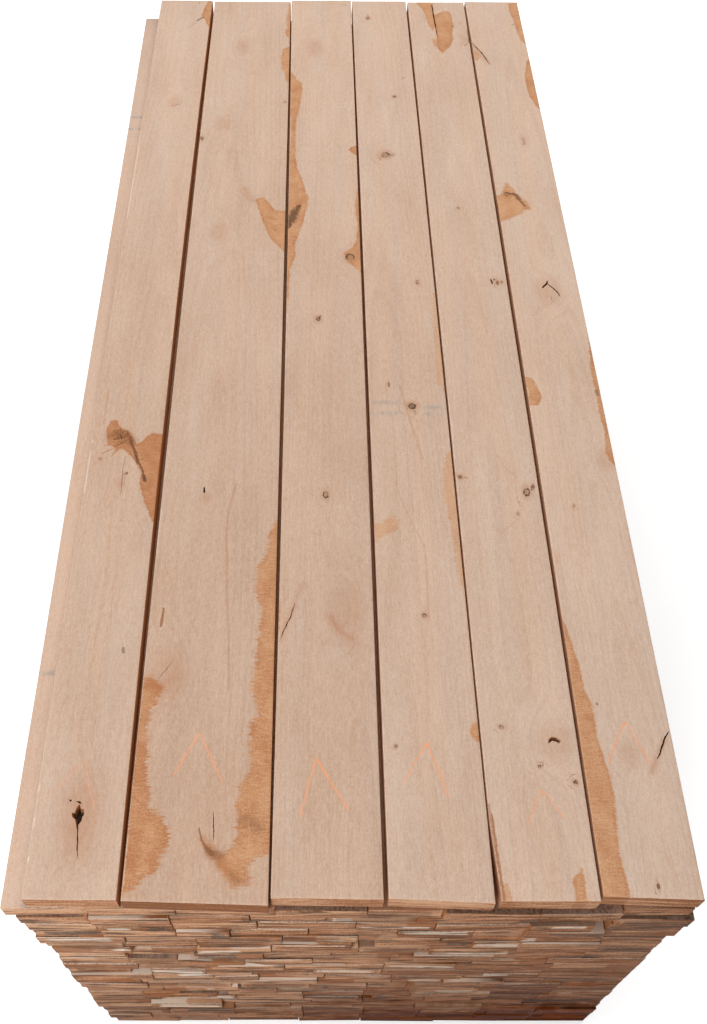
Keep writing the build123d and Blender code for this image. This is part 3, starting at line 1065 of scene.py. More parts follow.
def top_boards() -> list[TopBoard]:
    """Return the six top boards with what the saw and the weather left on each."""
    first = TopBoard(
        number=1,
        tones=(0.3, 0.41, 0.1),
        fuzz_and_highlight=0.7,
        pith=(0.03, -0.12),
        waney=(-1,),
        chevron=Chevron((-422, -1015), (-472, -1075), (-399, -1092), 0.4),
        stains=(
            Stain(((-356, 1233), (-340, 1230), (-340, 1104), (-350, 1104), (-360, 1140), (-371, 1156),
                   (-363, 1208))),
            Stain(((-458, -313), (-447, -312), (-441, -324), (-431, -336), (-420, -338), (-413, -349),
                   (-402, -372), (-390, -363), (-384, -351), (-374, -343), (-350, -347), (-350, -556),
                   (-356, -556), (-366, -530), (-379, -501), (-387, -467), (-388, -440), (-400, -417),
                   (-416, -395), (-430, -382), (-448, -397), (-441, -380), (-458, -376),
                   (-465, -332)), 0.75),
        ),
        knots=(
            Knot(-414, 752, 9, 1.5, KnotKind.FAINT),
            Knot(-468, -408, 3, 1.2),
            Knot(-414, -442, 2, 1.0),
            Knot(-422, -466, 5, 2.0, KnotKind.FAINT),
            Knot(-420, -1110, 15, 1.6, KnotKind.FAINT),
        ),
        streaks=(
            Streak(((-380, 1134), (-366, 1148)), 4, dark=0.7),
            Streak(((-378, 1136), (-400, 1100)), 5, dark=0.14),
            Streak(((-420, 734), (-402, 740)), 3, brown=0.5),
            Streak(((-424, -340), (-416, -358)), 3.2, brown=0.7, dark=0.65),
            Streak(((-416, -358), (-411, -374)), 4.4, brown=0.7, dark=0.75),
            Streak(((-411, -374), (-403, -392)), 3.0, brown=0.8, dark=0.75),
            Streak(((-403, -392), (-396, -414)), 4.0, brown=0.8, dark=0.8),
            Streak(((-396, -414), (-387, -430)), 2.6, brown=0.8, dark=0.7),
            Streak(((-387, -430), (-381, -450)), 2.2, brown=0.8, dark=0.7),
            Streak(((-381, -450), (-378, -460)), 4.4, brown=0.8, dark=0.85),
            Streak(((-450, -340), (-438, -348)), 2.6, brown=0.8, dark=0.5),
            Streak(((-446, -360), (-428, -354)), 3.2, brown=0.8, dark=0.65),
            Streak(((-438, -334), (-431, -346)), 2.2, brown=0.8, dark=0.55),
            Streak(((-440, -374), (-426, -368)), 2.2, brown=0.8, dark=0.55),
            Streak(((-450, -350), (-430, -352), (-414, -366)), 12, brown=0.6, dark=0.3),
            Streak(((-446, -366), (-464, -376)), 1.3, brown=0.9),
            Streak(((-468, -396), (-442, -380)), 1.6, brown=0.9),
            Streak(((-436, -386), (-448, -402)), 1.2, brown=0.8),
            Streak(((-472, -230), (-472, -322)), 2, brown=0.3),
            Streak(((-420, -1060), (-420, -1150)), 36, brown=0.24),
            Streak(((-421, -1092), (-419, -1122)), 13, brown=0.3),
            Streak(((-382, -815), (-381, -823)), 3, dark=0.6),
        ),
        checks=(
            Check(((-419.6, -396), (-422.5, -426), (-421.5, -455), (-420, -497)), 1.0),
            Check(((-420, -1113), (-417, -1140), (-414, -1168)), 2.2),
            Check(((-380, 1232), (-381, 1217)), 1.2),
            Check(((-437, -346), (-432, -360)), 1.6),
        ),
        pits=(
            Pit(((-421, -1083), (-418, -1090), (-413, -1091), (-411, -1101), (-414, -1105), (-414, -1111),
                 (-418, -1117), (-420, -1126), (-423, -1115), (-425, -1109), (-430, -1105), (-432, -1098),
                 (-427, -1098), (-425, -1090)), 14),
            Pit(((-438, -1077), (-433, -1077), (-434, -1081), (-437, -1081)), 4),
            Pit(((-429, -1079), (-420, -1079), (-417, -1085), (-421, -1084)), 4),
        ),
    )
    second = TopBoard(
        number=2,
        tones=(0.56, 0.38, 0.22),
        end_tone=0.9,
        pith=(-0.03, -0.14),
        chevron=Chevron((-244, -968), (-280, -1037), (-203, -1050), 0.75),
        stains=(
            Stain(((-120, 1225), (-130, 1217), (-131, 1175), (-137, 1142), (-131, 1106), (-138, 1087),
                   (-137, 1073), (-126, 1040), (-126, 1006), (-141, 995), (-147, 954), (-145, 902),
                   (-138, 887), (-130, 840), (-120, 808)), 0.3, 0.3),
            Stain(((-197, 364), (-189, 372), (-178, 373), (-168, 360), (-152, 329), (-139, 323),
                   (-120, 321), (-120, 172), (-143, 206), (-160, 231), (-172, 268), (-183, 310)), 0.42),
            Stain(((-120, -540), (-139, -572), (-147, -630), (-160, -655), (-163, -702), (-150, -738),
                   (-156, -800), (-162, -890), (-152, -936), (-163, -950), (-161, -1032), (-175, -1050),
                   (-180, -1080), (-178, -1130), (-188, -1159), (-200, -1163), (-212, -1156),
                   (-232, -1138), (-220, -1160), (-197, -1188), (-188, -1202), (-176, -1210),
                   (-150, -1204), (-160, -1192), (-150, -1168), (-120, -1159)), 0.5, 0.7),
            Stain(((-345, -865), (-331, -867), (-310, -890), (-313, -903), (-326, -932), (-328, -957),
                   (-325, -1023), (-312, -1068), (-316, -1090), (-295, -1102), (-280, -1128),
                   (-279, -1146), (-290, -1163), (-297, -1184), (-310, -1198), (-328, -1210),
                   (-345, -1222)), 0.64, 0.75),
        ),
        knots=(
            Knot(-250, 1006, 12, 1.7, KnotKind.FAINT),
            Knot(-289, 658, 10, 1.6, KnotKind.FAINT),
            Knot(-133, 752, 3.5, 1.0),
            Knot(-338, 598, 5.5, 1.3),
            Knot(-277, 248, 11, 1.6, KnotKind.FAINT),
            Knot(-262, -500, 6, 1.4, KnotKind.FAINT),
            Knot(-300, -862, 16, 1.4, KnotKind.FAINT),
        ),
        streaks=(
            Streak(((-226, 402), (-204, 362)), 10, brown=0.28),
            Streak(((-160, 300), (-150, 294)), 5, brown=0.5),
            Streak(((-148, 256), (-147, 255)), 3, dark=0.5),
            Streak(((-206, -467), (-218, -530), (-219, -584), (-216, -621), (-211, -723), (-206, -777),
                    (-201, -890)), 2.6, brown=0.4),
            Streak(((-320, -738), (-322, -772)), 2.6, brown=0.9, dark=0.4),
            Streak(((-330, -884), (-312, -888)), 6, brown=0.6),
            Streak(((-312, -884), (-294, -868)), 7, brown=0.2),
            Streak(((-235, -1122), (-229, -1142)), 1.5, brown=0.6, dark=0.5),
            Streak(((-229, -1142), (-221, -1153)), 2.4, brown=0.7, dark=0.5),
            Streak(((-221, -1153), (-212, -1161)), 3.8, brown=0.8, dark=0.5),
            Streak(((-218, -1157), (-202, -1164)), 7, brown=0.7, dark=0.46),
            Streak(((-226, -1138), (-205, -1162)), 7, brown=0.4),
            Streak(((-202, -1174), (-190, -1184), (-178, -1198)), 7, brown=0.7),
            Streak(((-165, -1108), (-146, -1120)), 10, dark=0.3),
            Streak(((-182, -1192), (-172, -1200)), 6, dark=0.25),
        ),
        checks=(
            Check(((-265, -474), (-265.5, -490)), 4.0),
            Check(((-215, -1095), (-213, -1118), (-211.5, -1142)), 1.6),
            Check(((-297, -839), (-308, -857), (-319, -873)), 0.9),
            Check(((-225, 412), (-219, 400)), 0.9),
        ),
    )
    third = TopBoard(
        number=3,
        tones=(0.42, 0.43, 0.12),
        pith=(0.05, -0.1),
        chevron=Chevron((-57, -1008), (-81, -1103), (-7, -1094), 1.0),
        stains=(
            Stain(((-126, 892), (-118, 886), (-108, 867), (-105, 852), (-90, 838), (-89, 805), (-95, 740),
                   (-105, 660), (-104, 530), (-100, 485), (-88, 443), (-80, 405), (-72, 368), (-77, 330),
                   (-84, 285), (-103, 206), (-100, 173), (-112, 127), (-115, 20), (-118, -14),
                   (-126, -14)), 0.42),
            Stain(((50, 572), (40, 570), (30, 565), (25, 556), (35, 541), (50, 526)), 0.4),
            Stain(((50, 412), (43, 410), (36, 356), (36, 322), (40, 280), (36, 222), (28, 200), (10, 182),
                   (8, 172), (14, 154), (32, 132), (50, 104)), 0.4),
            Stain(((-126, -722), (-119, -722), (-117, -750), (-119, -786), (-126, -786)), 0.45),
            Stain(((50, -713), (38, -716), (40, -723), (50, -724)), 0.3),
        ),
        knots=(
            Knot(-54, 1002, 12, 1.8, KnotKind.FAINT),
            Knot(26, 1219, 4, 0.8, KnotKind.FAINT),
            Knot(21, 166, 9.5, 1.25),
            Knot(-51, -28, 5, 1.4),
            Knot(-38, -492, 5, 1.5),
            Knot(-10, -742, 17, 1.8, KnotKind.FAINT),
        ),
        streaks=(
            Streak(((-119, 268), (-113, 290)), 8, brown=0.6, dark=0.85),
            Streak(((-113, 290), (-104, 320)), 13, brown=0.6, dark=0.85),
            Streak(((-104, 320), (-94, 344)), 6, brown=0.6, dark=0.85),
            Streak(((-115, 802), (-98, 814)), 6, brown=0.4),
            Streak(((-95, 352), (-82, 372)), 9, brown=0.4),
            Streak(((-80, -686), (-93, -720)), 6, brown=0.28),
            Streak(((-94, -728), (-119, -800)), 5, brown=0.35),
            Streak(((-33, -752), (-14, -784), (4, -796)), 6, brown=0.42),
            Streak(((-50, -806), (30, -808)), 5, brown=0.1),
            Streak(((-52, -30), (-46, -20)), 3, dark=0.6),
        ),
        checks=(Check(((-93, -724), (-100, -752), (-109, -773), (-118, -798)), 2.0),),
    )
    fourth = TopBoard(
        number=4,
        tones=(0.18, 0.33, 0.12),
        end_tone=-0.25,
        pith=(-0.04, -0.13),
        waney=(1,),
        chevron=Chevron((120, -980), (80, -1050), (148, -1071), 0.85),
        stains=(
            Stain(((210, 60), (198, 52), (194, 0), (192, -72), (189, -150), (190, -213),
                   (210, -240)), 0.1, 0.5),
            Stain(((210, -386), (195, -388), (187, -430), (182, -490), (190, -555), (194, -622),
                   (199, -690), (210, -705)), 0.14, 0.5),
            Stain(((45, -556), (62, -553), (77, -544), (86, -540), (94, -552), (96, -566), (84, -578),
                   (66, -584), (52, -596), (45, -598)), 0.14, 0.6),
            Stain(((210, -946), (194, -950), (188, -967), (198, -981), (210, -984)), 0.35),
        ),
        knots=(
            Knot(90, 1148, 5, 1.2, KnotKind.DARK),
            Knot(147, 778, 4.5, 1.0, KnotKind.DARK),
            Knot(174, 862, 2.5, 1.0),
            Knot(114, 536, 10, 1.0),
            Knot(166, 86, 3.5, 1.9),
            Knot(135, -272, 7.5, 1.0, KnotKind.DARK),
            Knot(130, -750, 4, 1.0),
            Knot(91, -215, 2, 2.5),
            Knot(70, -989, 2.5, 1.0),
        ),
        streaks=(
            Streak(((90, 1170), (91, 1150)), 3, brown=0.5),
            Streak(((122, 532), (134, 537)), 5, dark=0.35),
            Streak(((100, 516), (102, 524)), 4, brown=0.45),
            Streak(((112, -217), (118, -247), (131, -322), (148, -405)), 2.4, brown=0.35),
            Streak(((95, -297), (96, -480), (110, -530), (140, -610), (137, -760)), 2.0, brown=0.25),
            Streak(((139, -286), (140, -292)), 4, dark=0.3),
        ),
        stickers=((60, 108, -263), (160, 204, -276), (50, 102, -291), (164, 190, -293)),
    )
    fifth = TopBoard(
        number=5,
        tones=(0.12, 0.22, 0.14),
        pith=(0.0, -0.09),
        waney=(1,),
        chevron=Chevron((293, -1060), (265, -1117), (324, -1106), 0.6),
        stains=(
            Stain(((226, 1236), (274, 1236), (275, 1160), (274, 1110), (266, 1084), (256, 1117),
                   (248, 1177), (240, 1206)), 0.3),
            Stain(((274, 1160), (282, 1171), (303, 1187), (316, 1184), (323, 1165), (324, 1112),
                   (318, 1070), (319, 1048), (312, 1022), (284, 974), (273, 1004), (275, 1083)), 0.42),
            Stain(((260, 1046), (272, 1042), (272, 1006), (266, 1010)), 0.2, 0.4),
            Stain(((322, -1196), (332, -1188), (339, -1178), (340, -1236), (322, -1236)), 0.25),
            Stain(((219, -1205), (226, -1200), (231, -1236), (219, -1236)), 0.15),
        ),
        knots=(
            Knot(323, 1108, 2.5, 1.2),
            Knot(344, 1125, 3, 1.5, KnotKind.FAINT),
            Knot(275, 337, 3, 1.3),
            Knot(341, 85, 2.6, 2.2, KnotKind.DARK),
            Knot(351, 88, 2, 1.2, KnotKind.DARK),
            Knot(334, 96, 1.6, 1.0, KnotKind.DARK),
            Knot(216, -449, 4.5, 1.0, KnotKind.DARK),
            Knot(338, -484, 6.0, 1.6),
            Knot(352, -471, 2.0, 2.2, KnotKind.DARK),
            Knot(316, -534, 2.5, 1.5),
            Knot(323, -981, 17, 1.0, KnotKind.FAINT),
            Knot(242, -956, 4, 0.8),
            Knot(295, -1022, 2.5, 1.0),
            Knot(348, -1048, 3.5, 1.0, KnotKind.DARK),
        ),
        streaks=(
            Streak(((340, 1062), (352, 1040), (340, 1022)), 10, brown=0.22),
            Streak(((362, 1090), (361, 1030)), 4, dark=0.6),
            Streak(((225, -450), (229, -451)), 3, brown=0.5),
            Streak(((292, -397), (303, -425), (323, -450)), 3, brown=0.2),
            Streak(((267, -560), (280, -578), (315, -546)), 3, brown=0.16),
            Streak(((304, 1020), (300, 1008)), 8, brown=0.4),
            Streak(((336, 90), (345, 88)), 13, brown=0.3),
            Streak(((208, -1085), (209, -1240)), 3, brown=0.5, dark=0.3),
            Streak(((211, -1100), (215, -1180), (218, -1238)), 3, brown=0.95, dark=0.15),
        ),
        checks=(
            Check(((271, 1250), (272.5, 1180), (274.5, 1120), (276.5, 1056)), 4.0, 50.0),
            Check(((357, 1026), (345, 1012)), 2.0),
            Check(((327, 99), (330, 80)), 4.6),
        ),
        pits=(
            Pit(((312, -985), (314, -976), (320, -971), (328, -972), (336, -979), (332, -985),
                 (327, -981), (320, -979)), 6),
        ),
    )
    sixth = TopBoard(
        number=6,
        tones=(0.04, 0.1, 0.1),
        end_tone=0.2,
        pith=(0.025, -0.075),
        taper=0.02,
        chevron=Chevron((442, -946), (404, -1018), (470, -1020), 0.9),
        stains=(
            Stain(((520, 1232), (487, 1230), (486, 1187), (493, 1140), (496, 1080), (502, 1042),
                   (520, 1005)), 0.32),
            Stain(((520, 970), (504, 935), (492, 870), (492, 830), (494, 782), (507, 738),
                   (520, 712)), 0.4),
            Stain(((371, 383), (386, 388), (388, 412), (395, 431), (402, 427), (417, 393), (439, 358),
                   (445, 334), (432, 334), (422, 320), (392, 301), (371, 289), (360, 290),
                   (360, 383)), 0.25, 0.35),
            Stain(((360, -190), (369, -190), (384, -197), (391, -220), (397, -250), (386, -269),
                   (360, -269)), 0.3),
            Stain(((360, -613), (376, -618), (382, -632), (374, -648), (360, -651)), 0.04, 0.6),
            Stain(((520, -50), (511, -113), (505, -180), (507, -247), (504, -290), (508, -330),
                   (501, -388), (506, -411), (520, -428)), 0.4, 0.2),
            Stain(((360, -720), (372, -773), (383, -840), (386, -890), (394, -915), (394, -973),
                   (403, -1036), (405, -1069), (398, -1157), (403, -1202), (403, -1240),
                   (360, -1240)), 0.38),
            Stain(((373, 996), (388, 962), (373, 940), (366, 950), (366, 990)), 0.15, 0.3),
        ),
        knots=(
            Knot(489, 1119, 2, 1.0),
            Knot(457, 596, 7, 2.2, KnotKind.FAINT),
            Knot(394, 388, 6.5, 1.1),
            Knot(450, 60, 14, 1.6, KnotKind.FAINT),
            Knot(422, -515, 2, 1.8),
            Knot(498, -409, 9, 1.5, KnotKind.FAINT),
            Knot(440, -1002, 9, 1.4, KnotKind.FAINT),
            Knot(402, -915, 1.6, 1.2),
            Knot(447, -1207, 2.2, 1.4, KnotKind.DARK),
        ),
        streaks=(
            Streak(((457, 604), (457, 580)), 3, dark=0.4),
            Streak(((399, 391), (414, 386)), 4.4, brown=0.6, dark=0.75),
            Streak(((414, 386), (420, 370)), 5.6, brown=0.6, dark=0.7),
            Streak(((420, 370), (431, 346)), 4.0, brown=0.6, dark=0.65),
            Streak(((430, 340), (440, 338)), 5, brown=0.5),
            Streak(((384, -940), (386, -938)), 7, brown=0.6),
            Streak(((447, -1195), (447, -1215)), 2, dark=0.2),
            Streak(((500, -977), (469, -1032)), 5, brown=0.4),
            Streak(((508, -230), (509, -240)), 4, dark=0.5),
            Streak(((367, 1025), (405, 927)), 6, brown=0.35),
        ),
        checks=(
            Check(((366, 1030), (378, 1004), (390, 979), (398, 954), (405, 926)), 3.6),
            Check(((511, -961), (500, -977), (490, -998), (482, -1011)), 3.2),
            Check(((436, 68), (448, 83), (452, 93)), 5.4),
            Check(((449, 84), (467, 60), (473, 41)), 4.0),
            Check(((453, 47), (453, 24)), 1.0),
        ),
    )
    return [first, second, third, fourth, fifth, sixth]


STRIP_LETTERS = {"p": StripWeatherAndLight.PLAIN, "t": StripWeatherAndLight.TANNED, "w": StripWeatherAndLight.BLEACHED, "g": StripWeatherAndLight.DARKENED}


@dataclass
class BoardCourse:
    """One course of narrower boards below the top.

    Attributes:
        number: Its place from the top, the top boards being the first.
        strips: Each board's near strip, from the left: p, t, w or g as in STRIP_LETTERS, with its weathering
            and painted light and shade.
        bands: The bands on its boards' near ends.
        cuts: How many times an end is divided each way, so that it can take bands.
        stickers: Where stickers left grey marks across its leftmost board, as y.
        stray: How far its leftmost board's outer edge strays outwards at the far end.
        stations: How many lengths each board is divided into, so that it can bend a little.
        rim: How wide the worn rim of an end is.
        crook: How far a board's edges stray from straight.
        end_slant: How far out of square an end is cut.
    """

    number: int
    strips: str
    bands: tuple[EndBand, ...] = ()
    stickers: tuple[float, ...] = ()
    stray: float = 0.0
    cuts: int = 11
    stations: int = 14
    rim: float = 0.0016
    crook: float = 0.0008
    end_slant: float = 0.0005

    @property
    def node(self) -> str:
        """The name of the course's solids."""
        return f"course_{self.number:02d}"

    def model(self) -> bpy.types.Object:
        """Model the course's boards from a merged copy of their solids.

        Returns:
            The finished piece.
        """
        low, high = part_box(self.node)
        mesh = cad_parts[self.node].data.copy()
        boards = bpy.data.objects.new(self.node + "_sawn", mesh)
        bpy.context.scene.collection.objects.link(boards)
        with editing(boards):
            bpy.ops.mesh.select_all(action="SELECT")
            bpy.ops.mesh.remove_doubles(threshold=MERGE_DISTANCE)
            bpy.ops.mesh.dissolve_limited(angle_limit=math.radians(1))
            stations = [*np.linspace(low.y + END_MARGIN, high.y - END_MARGIN, self.stations)]
            stations += [y * MM + offset for y in self.stickers for offset in STICKER_EDGES]
            for y in stations:
                bpy.ops.mesh.select_all(action="SELECT")
                bpy.ops.mesh.bisect(plane_co=(0, y, 0), plane_no=(0, 1, 0))
            bpy.ops.mesh.select_all(action="DESELECT")
            bpy.ops.object.mode_set(mode="OBJECT")
            ends = [abs(face.normal.y) > 0.9 for face in mesh.polygons]
            mesh.polygons.foreach_set("select", ends)
            bpy.ops.object.mode_set(mode="EDIT")
            bpy.ops.mesh.inset(thickness=self.rim, use_individual=True)
            bpy.ops.mesh.remove_doubles(threshold=1.25 * self.rim)
            bpy.ops.mesh.subdivide(number_cuts=self.cuts)
        self.weather(mesh)
        only(boards)
        bpy.ops.object.shade_smooth_by_angle(angle=SMOOTH_ANGLE)
        return boards

    def board_numbers(self, mesh: bpy.types.Mesh) -> np.ndarray:
        """Return which board each vertex belongs to, counted from the left."""
        first, second = edges_of(mesh)
        label = np.arange(len(mesh.vertices))
        while True:
            lower = np.minimum(label[first], label[second])
            joined = label.copy()
            np.minimum.at(joined, first, lower)
            np.minimum.at(joined, second, lower)
            if (joined == label).all():
                break
            label = joined
        x = corners_of(mesh)[:, 0]
        names = sorted(set(label), key=lambda name: x[label == name].mean())
        return np.array([names.index(name) for name in label])

    def weather(self, mesh: bpy.types.Mesh) -> None:
        """Give each board its own crook, ends, grain and colour, with painted light and shade.

        Args:
            mesh: The course's mesh, which is changed.
        """
        points = corners_of(mesh)
        owner = self.board_numbers(mesh)
        log, bands = np.zeros((2, *points.shape))
        tone, weather, painted_shade, end_tone, heart, depth, shadow, arris_highlight = np.zeros((8, len(points)))
        draw = np.random.default_rng(100 + self.number)
        for board in range(owner.max() + 1):
            own = owner == board
            rows = points[own]
            low, high = rows.min(axis=0), rows.max(axis=0)
            middle = (low + high) / 2
            seed = int(draw.integers(1000000))
            along = np.column_stack([rows[:, 1], np.full(len(rows), 0.1 * board)])
            bend = self.crook * ripple(along, 1.3, seed)
            slant = draw.normal(0, self.end_slant, 2)
            across = (rows[:, 0] - middle[0]) / max(high[0] - middle[0], MM)
            near, far = rows[:, 1] < low[1] + MM, rows[:, 1] > high[1] - MM
            rim = (np.abs(rows[:, 0] - middle[0]) > high[0] - middle[0] - self.rim / 2) | (
                np.abs(rows[:, 2] - middle[2]) > high[2] - middle[2] - self.rim / 2
            )
            wear = np.abs(draw.normal(END_WEAR, END_WEAR_SPREAD, len(rows)))
            shift = np.where(near, np.where(rim, wear, 0) + slant[0] * across, 0)
            shift -= np.where(far, np.where(rim, wear, 0) + slant[1] * across, 0)
            pith = np.array([draw.uniform(-0.06, 0.06), -5 * draw.random(), -draw.uniform(0.01, 0.13)])
            log[own] = rows - middle - pith
            below, above = rows[:, 2] - low[2], high[2] - rows[:, 2]
            shadow[own] = np.clip((SHADOW_TOP - below) / SHADOW_FADE, 0, 1) * (draw.random() < SHADOW_CHANCE)
            arris_highlight[own] = np.clip((ARRIS_BOTTOM - above) / ARRIS_FADE, 0, 1) * (draw.random() < ARRIS_CHANCE)
            if board == 0:
                bend -= self.stray * (1 - across) / 2 * (rows[:, 1] - low[1]) / (high[1] - low[1])
            rows[:, 0] += bend
            rows[:, 1] += shift
            points[own] = rows
            strip = STRIP_LETTERS[self.strips[board]]
            # Boards other than plain ones are tanner, partly as painted shade; on course 2, seen mostly
            # through the gaps between the top boards, the tan is mostly painted shade
            clear, shaded = (-0.2, 1.2) if self.number == 2 else (0.15, 0.4)
            tone[own] = draw.normal(clear if strip is StripWeatherAndLight.PLAIN else shaded, 0.15)
            # The near strip's weathering, which also paints light and shade on it
            weather[own] = np.where(near, strip.value, 0.0)
            # Ends grow browner towards the right, which is painted shade
            end_tone[own] = draw.normal(0.0, 0.2) + 0.25 * middle[0]
            bands[own] = self.band_shares(board + 1, rows, low, high)
            # Painted shade, deeper low in the stack and towards the right
            painted_shade[own] = np.where(near, *self.painted_shade_shares(middle[0]))
            side = 1 if draw.random() < 0.5 else -1
            share = draw.uniform(0.0, 2.4) if self.number > 2 else 2.0
            heart[own] = (side * across - share) * (high[0] - middle[0])
            depth[own] = draw.uniform(0.15, 0.7)
        none, grey = np.zeros((2, len(points)))
        brown = 0.1 * (owner == 0)
        for y in self.stickers:
            under = (owner == 0) & (np.abs(points[:, 1] - y * MM) < PACKED_STICKER_REACH)
            grey[under & (points[:, 2] > points[:, 2].max() - 0.3 * MM)] = PACKED_STICKER_SHADE
        put_corners(mesh, points)
        put_numbers(mesh, "soft_marks", brown, none, grey)
        put_numbers(mesh, "log_co", *log.T)
        put_numbers(mesh, "board_tone", tone, weather, painted_shade)
        put_numbers(mesh, "heartwood", np.clip(heart, -HEART_LIMIT, HEART_LIMIT), depth, none + 0.5)
        put_numbers(mesh, "end_bands", *bands.T)
        put_numbers(mesh, "saw_marks", none, none, end_tone)
        put_numbers(mesh, "end_rim", shadow, arris_highlight, none + 1)
        put_numbers(mesh, "line_look", none + 1, none, none)

    def painted_shade_shares(self, x: float) -> tuple[float, float]:
        """Return how much painted shade darkens a board's near end, and the rest of it.

        Args:
            x: Where the board's middle lies across the stack.

        Returns:
            The two shares, which grow downwards and, at the near end, to the right.
        """
        low_down = np.clip((self.number - 10) / 14, 0, 1)
        to_right = np.clip(x / 0.5 + 0.4, 0, 1.4)
        upper_shade = 0.1 * np.clip((self.number - 4) / 8, 0, 1) * min(to_right / 0.4, 1)
        at_end = upper_shade + 0.2 * to_right + low_down**1.8 * (0.46 + 0.78 * min(to_right, 0.6))
        return at_end, 0.2 * low_down

    def band_shares(self, board: int, rows: np.ndarray, low: np.ndarray, high: np.ndarray) -> np.ndarray:
        """Return how far each vertex of a board's near end lies in its bands.

        Args:
            board: The board, counted from the left.
            rows: Its vertices.
            low: Its lowest corner.
            high: Its highest corner.

        Returns:
            A row for each vertex, with one column for each kind of band, from 0 to 1.
        """
        shares = np.zeros((len(rows), len(BandKind)))
        size = high - low
        across = (rows[:, 0] - low[0]) / size[0]
        down = (high[2] - rows[:, 2]) / size[2]
        for band in self.bands:
            if band.board != board:
                continue
            inside_x = np.minimum(across - band.left, band.right - across) * size[0] / BAND_SOFT_X
            inside_z = np.minimum(down - band.top, band.bottom - down) * size[2] / BAND_SOFT_Z
            column = band.kind.value
            inside = np.clip(0.5 + np.minimum(inside_x, inside_z), 0, 1) * (rows[:, 1] < 0)
            shares[:, column] = np.maximum(shares[:, column], inside)
        return shares


